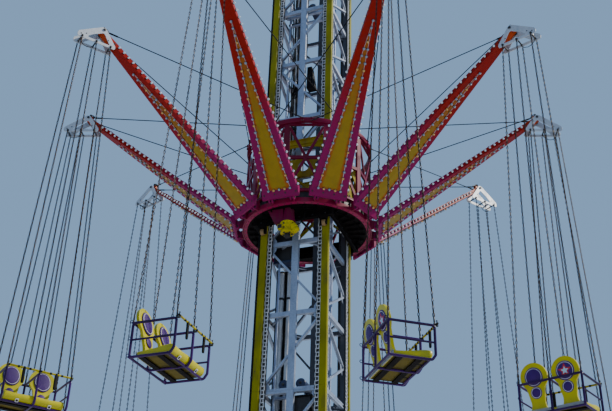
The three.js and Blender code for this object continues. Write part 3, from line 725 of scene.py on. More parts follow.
def mast_lattice(name, low, bays):
    steel = Shape(lattice_steel, dark_steel_and_shade)
    bottom, top = low + JOINT_GAP, low + bays * BAY - JOINT_GAP
    for x, y in CORNERS:
        foot, head = (x * POST_IN, y * FACE_IN, bottom), (x * POST_OUT, y * FACE_OUT, top)
        steel.box(foot, head, lattice_steel)
    for z, up in ((bottom, 1), (top, -1)):
        girts(steel, z + up * 0.025, 0.05)
        splices(steel, z, up)
    for flip in SIDES:
        steel.box((-COLUMN, flip * FACE_IN, bottom), (COLUMN, flip * FACE_OUT, top), lattice_steel)
        for bay in range(bays):
            front_bay(steel, low + bay * BAY, -1 if bay % 2 else 1, flip)
            side_bay(steel, low + bay * BAY, flip)
    for bay in range(1, bays):
        girts(steel, low + bay * BAY, 0.10)
        knee_braces(steel, low + bay * BAY)
    return steel.make(name, 0.005)


dress(mast_lattice("lattice_foot", MAST_FOOT, 2), "tower", "mast_foot")
SECTION_LOW, SECTION_STEP = MAST_FOOT + 2 * BAY, 3 * BAY
sections = [Matrix.Translation((0, 0, k * SECTION_STEP)) for k in range(5)]
section = mast_lattice("lattice_1", SECTION_LOW, 3)
copies(section, "lattice", "tower", "mast_section_{}", sections)
print("one section is", round(SECTION_STEP, 3), "m high")

# %% [markdown]
# The four guide rails are drawn box sections with round corners, in lengths that match the
# mast sections. Small clips hold each one to its post.

# %% Guide rails
RAIL_JOINTS = [MAST_FOOT, *(SECTION_LOW + k * SECTION_STEP for k in range(5)), MAST_TOP]


def rounded_rectangle(x0, x1, y0, y1, radius, steps=3):
    corners = [(x1 - radius, y1 - radius), (x0 + radius, y1 - radius)]
    corners += [(x0 + radius, y0 + radius), (x1 - radius, y0 + radius)]
    points = []
    for quarter, (x, y) in enumerate(corners):
        for step in range(steps + 1):
            a = (quarter + step / steps) * math.pi / 2
            points.append((x + radius * math.cos(a), y + radius * math.sin(a)))
    return points


def clip_heights(first):
    """Where clips sit: two in every bay, from `first` above the mast's foot."""
    heights = [MAST_FOOT + first + step * BAY / 2 for step in range(34)]
    return [z for z in heights if z < MAST_TOP - 0.2]


rail_inner = (MAST_HALF - RAIL_WIDTH, MAST_HALF - RAIL_DEPTH)
rail_ring = rounded_rectangle(rail_inner[0], MAST_HALF, rail_inner[1], MAST_HALF, 0.010)
upright = placed_by(Matrix.Identity(4))
for k, (side_x, side_y) in enumerate(CORNERS):
    rail = Shape(rail_paint, dark_steel_and_shade)
    ring = [(side_x * x, side_y * y) for x, y in rail_ring]
    joint_ring = [(0.985 * x, 0.985 * y) for x, y in ring]
    for low, high in zip(RAIL_JOINTS, RAIL_JOINTS[1:]):
        rail.plate(upright, ring, (low + 0.0015, high - 0.0015), rail_paint)
        if high < MAST_TOP:
            rail.plate(upright, joint_ring, (high - 0.006, high + 0.006), dark_steel_and_shade)
    for z in clip_heights(0.5):
        inner, outer = (side_x * 0.711, side_y * 0.655), (side_x * 0.755, side_y * 0.686)
        rail.box((*inner, z - 0.035), (*outer, z + 0.035), dark_steel_and_shade)
    dress(rail.make(f"rail_{k + 1}"), "tower", f"guide_rail_{k + 1}")

# %% [markdown]
# ## Lift chains
# Eight heavy roller chains run up the mast beside the rails, two on every side, each in a
# shallow steel guide. A roller chain alternates wide and narrow pairs of plates on its pins.

# %% Lift chains
CHAIN_LINK = 0.085
CHAIN_LOW = MAST_FOOT + 0.12
CHAIN_STEPS = int((MAST_TOP - 0.12 - CHAIN_LOW) / CHAIN_LINK)
LINK_TALL = CHAIN_LINK / 2 - 0.004
LINK_FACE = ((-0.014, -1), (0.016, -0.7), (0.016, 0.7), (-0.014, 1), (-0.021, 0.5), (-0.021, -0.5))

chain = Shape(chain_steel)
for step in range(CHAIN_STEPS):
    z = CHAIN_LOW + step * CHAIN_LINK
    outline = [(y, z + CHAIN_LINK / 2 + LINK_TALL * h) for y, h in LINK_FACE]
    for side in SIDES:
        x = side * (0.041 if step % 2 else 0.030)
        chain.plate(lambda y, z, x: (x, y, z), outline, (x - 0.0065, x + 0.0065), chain_steel)
    chain.tube([(-0.050, 0, z), (0.050, 0, z)], 0.0125, 4, chain_steel)

guide = Shape(dark_steel_and_shade)
GUIDE_LOW, GUIDE_TOP = MAST_FOOT + 0.05, MAST_TOP - 0.05
guide.box((-0.056, 0.0215, GUIDE_LOW), (0.056, 0.0255, GUIDE_TOP), dark_steel_and_shade)
for side in SIDES:
    guide.box((side * 0.051, -0.004, GUIDE_LOW), (side * 0.060, 0.0255, GUIDE_TOP), dark_steel_and_shade)

chain_places = [
    turn @ Matrix.Translation((side * offset, -out, 0))
    for turn, (offset, out) in zip(QUARTER_TURNS, ((0.58, 0.7115), (0.63, 0.7365)) * 2)
    for side in SIDES
]
for first, stem in ((chain, "lift_chain"), (guide, "chain_guide")):
    copies(first.make(stem + "_1"), stem, "tower", places=chain_places)
print("lift chains of", CHAIN_STEPS, "links each")

# %% [markdown]
# ## Inside the mast
# Thick pale tubes, thinner pipes and black cables run up inside the lattice. A coil of spare
# cable, dark blue drums, a cabinet and two black boxes hang on the girts.

# %% Pipes and cables in the mast
SERVICE_LOW = MAST_FOOT + 0.02
TUBE_TOP = 11.55
services = Shape(galvanised_steel, pipe_grey, dark_steel_and_shade, black_rubber, drum_blue)
for x, y, radius in ((-0.515, -0.10, 0.052), (-0.345, -0.08, 0.048)):
    wide = radius + 0.012
    services.tube([(x, y, SERVICE_LOW), (x, y, TUBE_TOP)], radius, 16, pipe_grey)
    for z in (2.0, 5.3, 8.1, 10.9):
        services.turned([(wide, 0), (wide, 0.05)], (x, y, z), UP, 16, dark_steel_and_shade)
    lid = [(wide, 0), (wide, 0.03), (radius - 0.01, 0.045)]
    services.turned(lid, (x, y, TUBE_TOP), UP, 16, dark_steel_and_shade)
long_pipes = ((-0.47, -0.42, 0.014), (-0.43, -0.46, 0.014), (0.12, 0.50, 0.016))
long_pipes += ((0.46, 0.40, 0.022), (0.40, 0.44, 0.022))
short_pipes = ((-0.435, -0.06, 0.028), (-0.585, -0.20, 0.018), (-0.265, 0.02, 0.024))
for top, pipes, finish in (
    (MAST_TOP - 0.3, long_pipes, galvanised_steel),
    (11.9, ((-0.12, -0.30, 0.020),), galvanised_steel),
    (11.6, short_pipes, black_rubber),
):
    for x, y, radius in pipes:
        services.tube([(x, y, SERVICE_LOW), (x, y, top)], radius, 10, finish)
random.seed(7)
for strand in range(13):
    kind = strand % 3
    x, y = -0.53 + 0.034 * strand, -0.16 + 0.07 * kind
    path = []
    for step in range(46):
        shake = (random.uniform(-0.014, 0.014), random.uniform(-0.02, 0.02))
        path.append((x + shake[0], y + shake[1], 13.2 + step * 0.34))
    services.tube(path, 0.011 + 0.004 * kind, 6, pipe_grey if strand in (4, 8) else black_rubber)
for turn in range(9):
    centre = Vector((-0.30 + 0.012 * turn, -0.24, 16.35 + 0.03 * turn))
    tall = 0.13 * (0.8 + 0.05 * turn)
    coil = [centre + Vector((0.10 * c, 0.04 * s * c, tall * s)) for c, s in round_steps(20)]
    services.tube(coil, 0.011, 6, black_rubber, closed=True)
print("points so far", len(services.points))

# %% [markdown]
# The larger things hang on girts: a cabinet with a door, two pairs of drums on their beams, a
# black box and a wedge-shaped one with ribs.

# %% Cabinet, drums and boxes in the mast
for low, high, finish in (
    ((-0.58, -0.46, 11.62), (-0.14, -0.24, 12.42), drum_blue),
    ((-0.54, -0.475, 11.68), (-0.18, -0.455, 12.36), dark_steel_and_shade),
    ((0.02, -0.55, 7.45), (0.42, -0.15, 8.55), black_rubber),
    ((0.05, -0.56, 7.50), (0.39, -0.54, 8.50), dark_steel_and_shade),
):
    services.box(low, high, finish)
for z in (15.4, 18.7, 22.1, 25.4, 28.2):
    services.box((-0.60, -0.20, z - 0.03), (-0.14, -0.13, z + 0.03), dark_steel_and_shade)
spool = [(0.060, -0.012), (0.066, -0.012), (0.10, 0), (0.105, 0.012), (0.10, 0.024)]
spool += [(0.10, 0.44), (0.105, 0.452), (0.10, 0.464), (0.06, 0.476)]
for level in (8.69, 18.69):
    for x in (-0.20, 0.17):
        centre = (x, -0.56, level + 0.11)
        services.turned(spool, centre, (0, 1, 0), 24, drum_blue)
        services.turned([(0.03, -0.03), (0.03, 0.01)], centre, (0, 1, 0), 12, dark_steel_and_shade)
    for y in (-0.50, -0.20):
        services.box((-0.55, y, level - 0.05), (0.55, y + 0.08, level), galvanised_steel)
services.loft([
    [(0.02, -0.40, 16.36), (0.235, -0.40, 16.36), (0.235, -0.20, 16.36), (0.02, -0.20, 16.36)],
    [(0.02, -0.37, 17.03), (0.135, -0.37, 17.03), (0.135, -0.23, 17.03), (0.02, -0.23, 17.03)],
], black_rubber)
for x in (0.05, 0.11, 0.17):
    services.box((x, -0.412, 16.38), (x + 0.018, -0.385, 16.68), dark_steel_and_shade)
dress(services.make("services", 0.004), "tower")

# %% [markdown]
# The black band beside the left rail is a row of power cables. Clips hold it to the rail.

# %% Power cables
cables = Shape(black_rubber, dark_steel_and_shade)
for x in (-0.7985, -0.8185):
    for y in (-0.780, -0.755, -0.730):
        cables.tube([(x, y, 0.34), (x, y, MAST_TOP - 0.1)], 0.0115, 8, black_rubber)
for z in clip_heights(0.3):
    cables.box((-0.8315, -0.790, z - 0.02), (-0.7855, -0.715, z + 0.02), dark_steel_and_shade)
dress(cables.make("power_cables"), "tower")

# %% [markdown]
# ## Base and head
# The base plate and the mast head keep their solids, with a galvanised finish. Anchor bolts
# and ribs are added to the base. The head gets a railing of thin tubes round its deck.

# %% Base and head
for node in ("base_frame", "mast_head"):
    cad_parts[node].material_slots[0].material = galvanised_steel.material

anchors = Shape(galvanised_steel, dark_steel_and_shade)
rib = [(-1.24, 0.045), (-0.89, 0.045), (-0.89, 0.26)]
for turn in QUARTER_TURNS:
    for x in (-1.10, -0.66, -0.22, 0.22, 0.66, 1.10):
        spot = turn @ Vector((x, -1.18, 0.05))
        anchors.bolt(spot, UP, 0.022, dark_steel_and_shade)
        anchors.turned([(0.012, 0), (0.012, 0.055)], spot, UP, 8, dark_steel_and_shade)
    for x in (-0.88, -0.44, 0, 0.44, 0.88):
        standing = placed_by(turn @ Matrix.Translation((x, 0, 0)))
        anchors.plate(lambda y, z, x: standing(x, y, z), rib, (-0.008, 0.008), galvanised_steel)
dress(anchors.make("base_fittings", 0.003), "tower")

DECK_HALF = 0.87
DECK_TOP = MAST_TOP + 0.06
railing = Shape(galvanised_steel, dark_steel_and_shade)
deck_edge = rounded_rectangle(-DECK_HALF, DECK_HALF, -DECK_HALF, DECK_HALF, 0.06)
for level in (0.45, 0.90):
    loop = [(x, y, DECK_TOP + level) for x, y in deck_edge]
    railing.tube(loop, 0.014, 8, galvanised_steel, closed=True)
for turn in QUARTER_TURNS:
    for x in (-DECK_HALF, -DECK_HALF / 3, DECK_HALF / 3):
        foot = turn @ Vector((x, -DECK_HALF, DECK_TOP))
        railing.tube([foot, foot + 0.90 * UP], 0.014, 8, galvanised_steel)
    for x in (-0.6, 0, 0.6):
        spot = turn @ Vector((x, -0.786, DECK_TOP + 0.12))
        railing.bolt(spot, turn @ Vector((0, -1, 0)), 0.014, dark_steel_and_shade)
dress(railing.make("head_railing"), "tower")

# %% [markdown]
# ## Drum
# The drum is a broad magenta band with a recessed web and a thin flange above it. The web and
# the ribs in its recess are painted near black, as painted shade. A narrow groove parts the band
# from the ring within it, where a circle of bolts holds the bearing; the groove is painted near
# black as a painted shadow line. A pair of lugs reaches out to every arm.

# %% Drum
def around(turn, radius, side, z):
    """A point seen from the mast's axis, for a turn measured from -Y towards +X."""
    x = radius * math.sin(turn) + side * math.cos(turn)
    y = -radius * math.cos(turn) + side * math.sin(turn)
    return Vector((x, y, Z + z))


def radial(turn):
    """Places the outline of a plate that stands along a radius."""
    return lambda radius, z, side: around(turn, radius, side, z)


def tangent(turn):
    return Vector((math.cos(turn), math.sin(turn), 0))


band = [(1.428, 0), (1.451, 0), (1.455, 0.004), (1.455, 0.100), (1.451, 0.104), (1.428, 0.104)]
bearing = [(1.346, 0.004), (1.414, 0.004), (1.419, 0.009), (1.419, 0.100), (1.346, 0.100)]
groove = [(1.331, 0.014), (1.427, 0.014), (1.427, 0.110), (1.331, 0.110)]
web = [(1.331, 0.109), (1.404, 0.109), (1.404, 0.271), (1.331, 0.271)]
flange = [(1.331, 0.270), (1.451, 0.270), (1.455, 0.274), (1.455, 0.296), (1.451, 0.300)]
flange += [(1.331, 0.300)]
lug = [(1.400, 0.005), (1.400, 0.265), (1.46, 0.235), (1.545, 0.200), (1.575, 0.150)]
lug += [(1.560, 0.050), (1.47, 0.010)]

rim = Shape(crimson_paint, dark_maroon, dark_steel_and_shade, grease_and_shade)
# painted shade: the groove is a near-black shadow line, and the recessed web is near black
rim_finishes = (crimson_paint, dark_maroon, grease_and_shade, dark_steel_and_shade, crimson_paint)
for loop, finish in zip((band, bearing, groove, web, flange), rim_finishes):
    rim.turned(loop, (0, 0, Z), UP, 120, finish, closed=True)
# painted shade: the ribs in the web's recess are near black
for step in range(30):
    turn = (step + 0.5) * 2 * math.pi / 30
    inner, outer = [around(turn, radius, 0, 0.187) for radius in (1.403, 1.436)]
    rim.bar(inner, outer, 0.012, 0.165, tangent(turn), dark_steel_and_shade)
for step in range(60):
    rim.bolt(around(step * 2 * math.pi / 60, 1.382, 0, 0.004), -UP, 0.010, dark_steel_and_shade)
for index in range(ARMS):
    for side in (-0.24, 0.24):
        rim.plate(radial(index * ARM_TURN), lug, (side - 0.014, side + 0.014), crimson_paint)
dress(rim.make("drum_rim", 0.003), "carousel", "drum")

# %% [markdown]
# ## Crown
# Ten posts carry the top ring. Each panel between two posts has a sill, a straight middle
# rail and two crossed braces. The ring has small lugs on its outer face, in pairs on a pin.

# %% Crown
PANEL_SIDE = 0.375
CROWN_RADIUS = 1.372
crown = Shape(crimson_paint, dark_steel_and_shade)
ring = [(1.399, 2.070), (1.466, 2.070), (1.470, 2.076), (1.470, 2.184), (1.464, 2.190)]
ring += [(1.401, 2.190), (1.395, 2.184), (1.395, 2.076)]
crown.turned(ring, (0, 0, Z), UP, 100, crimson_paint, closed=True)
for index in range(ARMS):
    turn = index * ARM_TURN
    for radius, top, wide, deep in ((1.412, 2.072, 0.130, 0.055), (1.405, 0.322, 0.20, 0.11)):
        foot, head = [around(turn, radius, 0, z) for z in (0.302, top)]
        crown.bar(foot, head, wide, deep, tangent(turn), crimson_paint)
    for side in (-0.08, 0.08):
        crown.bolt(around(turn, 1.425, side, 0.322), UP, 0.012, dark_steel_and_shade)
    middle = turn + ARM_TURN / 2
    for z, height, depth in ((0.333, 0.060, 0.050), (1.17, 0.080, 0.045), (2.045, 0.050, 0.045)):
        start, end = [around(middle, CROWN_RADIUS, flip * PANEL_SIDE, z) for flip in SIDES]
        crown.bar(start, end, height, depth, UP, crimson_paint)
    for flip in SIDES:
        radius = CROWN_RADIUS + 0.006 * flip
        start = around(middle, radius, -flip * PANEL_SIDE, 0.38)
        end = around(middle, radius, flip * PANEL_SIDE, 1.97)
        crown.bar(start, end, 0.058, 0.036, tangent(middle), crimson_paint)
    for at in (middle - math.radians(4), middle + math.radians(4)):
        for z in (2.09, 2.17):
            outline = [(1.468, z - 0.028), (1.468, z + 0.028), (1.492, z + 0.022), (1.498, z)]
            outline += [(1.492, z - 0.022)]
            for side in (-0.017, 0.017):
                crown.plate(radial(at), outline, (side - 0.004, side + 0.004), crimson_paint)
            pin = [(0.008, -0.026), (0.008, 0.026)]
            crown.turned(pin, around(at, 1.486, 0, z), tangent(at), 8, dark_steel_and_shade)
dress(crown.make("crown", 0.004), "carousel", "crown_cage")

# %% [markdown]
# ## Carriage
# The carriage is a square frame round the mast. Its race plate is a disc with a square hole,
# ribbed below. Square rings of beams stand above and below it, and posts join them at the
# corners. The race plate, its ribs, the lower ring of beams and the feet of the posts are painted
# near black, as painted shade under the carousel; the rest is yellow.

# %% Race plate, beams and posts
INNER, OUTER = 0.836, 0.920


def circle(radius, count):
    return [(radius * c, radius * s) for c, s in round_steps(count)]


def square(half, count):
    """Points on a square, in the directions of a circle's points."""
    sizes = [(c, s, half / max(abs(c), abs(s))) for c, s in round_steps(count)]
    return [(c * size, s * size) for c, s, size in sizes]


carriage = Shape(yellow_paint, dark_steel_and_shade, grease_and_shade)
hole = square(INNER, 96)
# painted shade: the race plate and the ring below it are near black
for outer, inner, low, high in (
    (1.324, hole, 0.150, 0.170),
    (1.324, hole, 0.020, 0.034),
    (1.324, circle(1.285, 96), 0.034, 0.150),
    (1.20, circle(1.19, 96), -0.020, 0.021),
):
    carriage.plate(upright, circle(outer, 96), (Z + low, Z + high), grease_and_shade, inner)
# painted shade: the ribs under the race plate are near black
for step, (c, s) in enumerate(round_steps(32, 0.5)):
    start = INNER / max(abs(c), abs(s)) + 0.09
    if start < 1.24 and step not in (23, 24):
        direction = Vector((c, s, 0))
        near, far = [direction * reach + UP * (Z - 0.005) for reach in (start, 1.30)]
        carriage.bar(near, far, 0.012, 0.050, direction.cross(UP), grease_and_shade)
# painted shade: the lower ring of beams is near black, the upper one yellow
for low, high, finish in ((Z - 0.13, Z + 0.02, grease_and_shade), (Z + 1.83, Z + 1.98, yellow_paint)):
    for half, bottom, top in ((OUTER, low, low + 0.016), (OUTER, high - 0.016, high)):
        carriage.plate(upright, square(half, 8), (bottom, top), finish, square(INNER, 8))
    carriage.plate(upright, square(0.885, 8), (low, high), finish, square(0.868, 8))
for x, y in CORNERS:
    # painted shade: the feet of the posts, below the race plate, are near black
    for bottom, top, finish in ((-0.129, 0.22, grease_and_shade), (0.22, 1.979, yellow_paint)):
        inner, outer = (x * 0.837, y * 0.837, Z + bottom), (x * 0.919, y * 0.919, Z + top)
        carriage.box(inner, outer, finish)
print("points so far", len(carriage.points))

# %% [markdown]
# All four sides of the carriage are alike: a middle beam, an arched plate under the top beam,
# four plates with round openings and two braces. Forks for the guide rollers hang below the
# corners, under a small cover; forks and cover are painted near black as painted shade.

# %% Sides and forks of the carriage
ROLLER_X, ROLLER_Y, ROLLER_Z = 0.710, 0.8553, Z - 0.28
ARCH_TOP = 1.835
arch = [(-0.80 * c, 1.50 + 0.27 * s) for c, s in round_steps(32)[:17]]
for turn in QUARTER_TURNS:
    carriage.box((-0.84, -0.915, Z + 0.96), (0.84, -0.842, Z + 1.04), yellow_paint, turn)
    for (x0, z0), (x1, z1) in zip(arch, arch[1:]):
        outline = [(x0, z0), (x1, z1), (x1, ARCH_TOP), (x0, ARCH_TOP)]
        spot = lambda x, z, y: turn @ Vector((x, y, Z + z))
        carriage.plate(spot, outline, (-0.905, -0.885), yellow_paint)
    for x in (-0.63, -0.21, 0.21, 0.63):
        standing = Matrix.Translation((x, -0.88, Z + 1.25)) @ Matrix.Rotation(math.pi / 2, 4, "X")
        levels = (-0.008, 0.008)
        spot = placed_by(turn @ standing)
        carriage.plate(spot, square(0.209, 24), levels, yellow_paint, circle(0.135, 24))
    for x in (-0.75, -0.45, -0.15, 0.15, 0.45, 0.75):
        spot = turn @ Vector((x, -0.885, Z - 0.055))
        carriage.bolt(spot, turn @ Vector((0, -1, 0)), 0.014, dark_steel_and_shade)
    top = turn @ Vector((0, -0.878, Z + 0.95))
    for x in (-0.82, 0.82):
        foot = turn @ Vector((x, -0.878, Z + 0.20))
        carriage.bar(foot, top, 0.06, 0.05, turn @ Vector((1, 0, 0)), yellow_paint)
fork = [(-0.030, -0.030), (-0.015, -0.045), (0.015, -0.045), (0.030, -0.030)]
fork += [(0.042, 0.255), (-0.020, 0.255)]
for side_x, side_y in CORNERS:
    spot = lambda y, z, x: (side_x * (ROLLER_X + x), side_y * (ROLLER_Y + y), ROLLER_Z + z)
    # painted shade: the forks and their cover are near black
    for levels in ((0.045, 0.063), (-0.093, -0.045)):
        carriage.plate(spot, fork, levels, grease_and_shade)
    x, y0, y1 = side_x * ROLLER_X, side_y * 0.846, side_y * 0.918
    carriage.box((x - 0.095, y0, Z - 0.195), (x + 0.085, y1, Z - 0.110), grease_and_shade)
dress(carriage.make("carriage", 0.003), "carriage", "carriage_frame")

# %% [markdown]
# The guide rollers have tan tyres on dark hubs. Each turns on its own axle, so each is a piece
# of its own that rides on the roller's body.

# %% Guide rollers
ACROSS = (1, 0, 0)
roller = Shape(tan_tyre, dark_steel_and_shade)
tyre = [(0.046, -0.038), (0.060, -0.040), (0.067, -0.036), (0.070, -0.028)]
tyre += [(r, -x) for r, x in reversed(tyre)]
roller.turned(tyre, (0, 0, 0), ACROSS, 32, tan_tyre, closed=True)
hub = [(0.020, -0.036), (0.046, -0.030), (0.0465, 0), (0.046, 0.030), (0.020, 0.036)]
roller.turned(hub, (0, 0, 0), ACROSS, 24, dark_steel_and_shade)
roller.turned([(0.0115, -0.067), (0.0115, 0.067)], (0, 0, 0), ACROSS, 12, dark_steel_and_shade)
axles = [Matrix.Translation((x * ROLLER_X, y * ROLLER_Y, ROLLER_Z)) for x, y in CORNERS]
copies(roller.make("roller_1"), "roller", "roller_{}", "guide_roller_{}", axles)

# %% [markdown]
# The turning drive hangs below the race plate: a magenta bracket and cone, then a lumpy yellow
# gearmotor with fins round its case, a second motor at its side, cover bolts, a terminal box
# and a cable.

# %% Turning drive
drive = Shape(motor_paint, drive_magenta, dark_steel_and_shade, black_rubber)
on_drive = placed_by(Matrix.Translation((0, -1.115, Z + 0.0197)))
gear_top = on_drive(-0.02, 0, -0.328)
on_gear = placed_by(Matrix.Translation(gear_top))
cone = [(0.104, 0), (0.106, -0.020), (0.110, -0.024), (0.140, -0.290), (0.152, -0.296)]
cone += [(0.152, -0.322), (0.140, -0.328)]
drive.turned(cone, on_drive(0, 0, 0), UP, 32, drive_magenta)
bracket = [(-0.46, 0), (-0.10, 0), (-0.10, -0.318), (-0.30, -0.318)]
for levels in ((-0.090, -0.076), (0.030, 0.044)):
    drive.plate(lambda x, z, y: on_drive(x, y, z), bracket, levels, drive_magenta)
slope = (on_drive(-0.452, -0.02, 0), on_drive(-0.298, -0.02, -0.316))
drive.bar(*slope, 0.012, 0.125, (1, 0, 0.5), drive_magenta)
drive.box(on_drive(-0.30, -0.09, -0.330), on_drive(-0.10, 0.044, -0.314), drive_magenta)
for c, s in round_steps(10, 0.5):
    drive.bolt(on_drive(0.146 * c, 0.146 * s, -0.328), -UP, 0.008, dark_steel_and_shade)

gear = [(0.128, 0), (0.160, -0.008), (0.164, -0.034), (0.146, -0.042), (0.140, -0.090)]
gear += [(0.158, -0.100), (0.160, -0.128), (0.134, -0.138), (0.128, -0.190)]
gear += [(0.142, -0.200), (0.142, -0.226), (0.100, -0.236)]
drive.turned(gear, gear_top, UP, 30, motor_paint)
for step, (c, s) in enumerate(round_steps(14)):
    finish = dark_steel_and_shade if step % 3 == 1 else motor_paint
    for r, level, length in ((0.148, -0.044, 0.052), (0.134, -0.140, 0.056)):
        fin = (on_gear(r * c, r * s, level), on_gear(r * c, r * s, level - length))
        drive.bar(*fin, 0.022, 0.018, (c, s, 0), finish)
drive.box(on_gear(-0.175, -0.150, -0.190), on_gear(-0.070, -0.060, -0.085), motor_paint)
drive.box(on_gear(-0.166, -0.156, -0.180), on_gear(-0.079, -0.149, -0.095), dark_steel_and_shade)
base_ring = [(0.118, -0.226), (0.150, -0.232), (0.152, -0.254), (0.120, -0.262)]
drive.turned(base_ring, gear_top, UP, 30, motor_paint)
drive.turned([(0.062, -0.260), (0.066, -0.330), (0.050, -0.352)], gear_top, UP, 24, dark_steel_and_shade)
for a in (math.radians(20 + 75 * k) for k in range(5)):
    spot = on_gear(0.10 * math.cos(a), 0.10 * math.sin(a), -0.258)
    drive.turned([(0.020, 0), (0.024, -0.014), (0.012, -0.030)], spot, UP, 12, dark_steel_and_shade)

side_motor, side_axis = on_gear(0.155, -0.02, -0.145), Vector((0.5, 0, -0.86))
lobe = [(0.060, -0.070), (0.086, -0.060), (0.090, 0.020), (0.078, 0.028), (0.078, 0.060)]
lobe += [(0.088, 0.068), (0.088, 0.100), (0.050, 0.118)]
drive.turned(lobe, side_motor, side_axis, 24, motor_paint)
for c, s in round_steps(10):
    spoke = Vector((0.86 * c, s, 0.5 * c))
    drive.bolt(side_motor + spoke * 0.070 + side_axis * 0.104, side_axis, 0.007, dark_steel_and_shade)
cable = ((0.10, 0.02, 0), (0.17, 0.03, -0.045), (0.26, 0.05, -0.03), (0.33, 0.08, 0.10))
cable += ((0.36, 0.10, 0.28),)
drive.tube([on_gear(*point) for point in cable], 0.010, 8, black_rubber)
dress(drive.make("gearmotor", 0.002), "carriage", "turning_drive")

# %% [markdown]
# ## Arms
# An arm is a shallow tapered channel that is open below. A long panel fills the opening and runs
# out in a point, with a raised middle and a pale trim along its edges. The first arm is made in
# full and turned into ten.

# %% Arm shape
ARM_BASE = Vector((0, -1.630, Z + 0.187))
ARM_TIP = Vector((0, -5.410, Z + 3.167))
ARM_ALONG = (ARM_TIP - ARM_BASE).normalized()
ARM_UP = ARM_ALONG.cross(Vector(ACROSS))
ARM_END = (ARM_TIP - ARM_BASE).length + 0.055
ARM_FACE = 0.050
PANEL_START, PANEL_END = 0.06, 3.70
PANEL_RIM = 0.045


def arm_half(s):
    """Half the arm's width at `s` along it."""
    return 0.400 + (0.070 - 0.400) * s / ARM_END


def panel_half(s):
    return PANEL_HALF * (PANEL_END - s) / (PANEL_END - PANEL_START)


def on_arm(s, w, v):
    """A point `s` along the arm, `w` across it and `v` above its middle line."""
    return ARM_BASE + ARM_ALONG * s + Vector((w, 0, 0)) + ARM_UP * v


def plank(s0, s1, finish, low, high, outer, inner=None, flip=1):
    """A plank along the arm. Its sides are at `outer(s)`, and at `inner(s)` or mirrored."""
    loops = []
    for s in (s0, s1):
        a, b = flip * (inner(s) if inner else -outer(s)), flip * outer(s)
        corners = ((a, low), (b, low), (b, high), (a, high))
        loops.append([on_arm(s, w, v) for w, v in corners])
    arm.loft(loops, finish)


def skin(s):
    return arm_half(s) - 0.012


arm = Shape(arm_paint, panel_paint, dark_steel_and_shade, hanger_grey)
plank(0, ARM_END, arm_paint, ARM_FACE - 0.012, ARM_FACE, arm_half)
plank(0, PANEL_START, arm_paint, -ARM_FACE, -ARM_FACE + 0.010, skin)
plank(PANEL_END, ARM_END, arm_paint, -ARM_FACE, -ARM_FACE + 0.010, skin)
for flip in SIDES:
    plank(0, ARM_END, arm_paint, -ARM_FACE, ARM_FACE - 0.012, arm_half, skin, flip)
    lip = (-ARM_FACE, -ARM_FACE + 0.010)
    plank(PANEL_START, PANEL_END, arm_paint, *lip, skin, panel_half, flip)
    trim = (lambda s: panel_half(s) + 0.005, lambda s: max(0.0, panel_half(s) - 0.004))
    plank(PANEL_START, PANEL_END, hanger_grey, -0.053, -0.046, *trim, flip)
plank(PANEL_START, PANEL_END, panel_paint, -0.047, -0.040, panel_half)
yellow_start = PANEL_START + 0.04
yellow_end = PANEL_END - (PANEL_END - PANEL_START) * PANEL_RIM / PANEL_HALF
roof = []
for s in (yellow_start, yellow_end):
    half = panel_half(s) - PANEL_RIM
    section = [(-half, -0.048), (0, -0.053), (half, -0.048), (half, -0.044), (-half, -0.044)]
    roof.append([on_arm(s, w, v) for w, v in section])
arm.loft(roof, panel_paint)
end_face = [(x * 0.069, y * 0.049) for x, y in CORNERS]
end_loops = [(ARM_END, 1), (ARM_END + 0.008, 0.8)]
arm.loft([[on_arm(s, size * w, size * v) for w, v in end_face] for s, size in end_loops], arm_paint)
for s in (0.62, 1.55, 2.45, 3.30, 4.05):
    half = arm_half(s) + 0.004
    start, end = on_arm(s, -half, ARM_FACE + 0.003), on_arm(s, half, ARM_FACE + 0.003)
    arm.bar(start, end, 0.05, 0.012, ARM_ALONG, arm_paint)
    for flip in SIDES:
        spot = on_arm(s, flip * (half - 0.035), ARM_FACE + 0.009)
        arm.bolt(spot, ARM_UP, 0.009, dark_steel_and_shade)
print("arm", round(ARM_END, 3), "m long, yellow for", round(yellow_end, 2), "m")

# %% [markdown]
# The base end is a box across the arm's full width. Clevis cheeks below it grip the drum's
# lugs. The tip has the hanger's pin with its collars, and a block with shackles and caps above
# the roots of the two stays.

# %% Arm ends
root_box = [(1.583, 0.032), (1.628, 0.032), (1.706, 0.184), (1.664, 0.262), (1.583, 0.262)]
arm.plate(radial(0), root_box, (-0.412, 0.412), arm_paint)
for x in (-0.36, -0.12, 0.12, 0.36):
    arm.bolt(around(0, 1.668, x, 0.108), (0, -0.88, -0.47), 0.011, dark_steel_and_shade)
cheek = [(1.600, 0.100), (1.600, 0.020), (1.575, -0.006), (1.525, -0.006), (1.500, 0.025)]
cheek += [(1.500, 0.150), (1.582, 0.230)]
for x in (-0.24, 0.24):
    for flip in SIDES:
        arm.plate(radial(0), cheek, (x + flip * 0.018, x + flip * 0.048), arm_paint)
    pin = [(0.022, -0.062), (0.022, 0.062)]
    arm.turned(pin, around(0, 1.545, x, 0.045), ACROSS, 12, dark_steel_and_shade)

tip_pin = around(0, 5.410, 0, 3.170)
collar = [(0.056, 0.076), (0.062, 0.080), (0.062, 0.098), (0.046, 0.105)]
nut = [(0.034, 0.134), (0.034, 0.145), (0.02, 0.150)]
arm.turned([(0.0172, -0.145), (0.0172, 0.145)], tip_pin, ACROSS, 20, dark_steel_and_shade)
for flip in SIDES:
    arm.turned([(r, flip * h) for r, h in collar], tip_pin, ACROSS, 20, dark_steel_and_shade)
    arm.turned([(r, flip * h) for r, h in nut], tip_pin, ACROSS, 6, dark_steel_and_shade)
    arm.bolt(on_arm(4.45, flip * arm_half(4.45), 0), (flip, 0, 0), 0.012, dark_steel_and_shade)

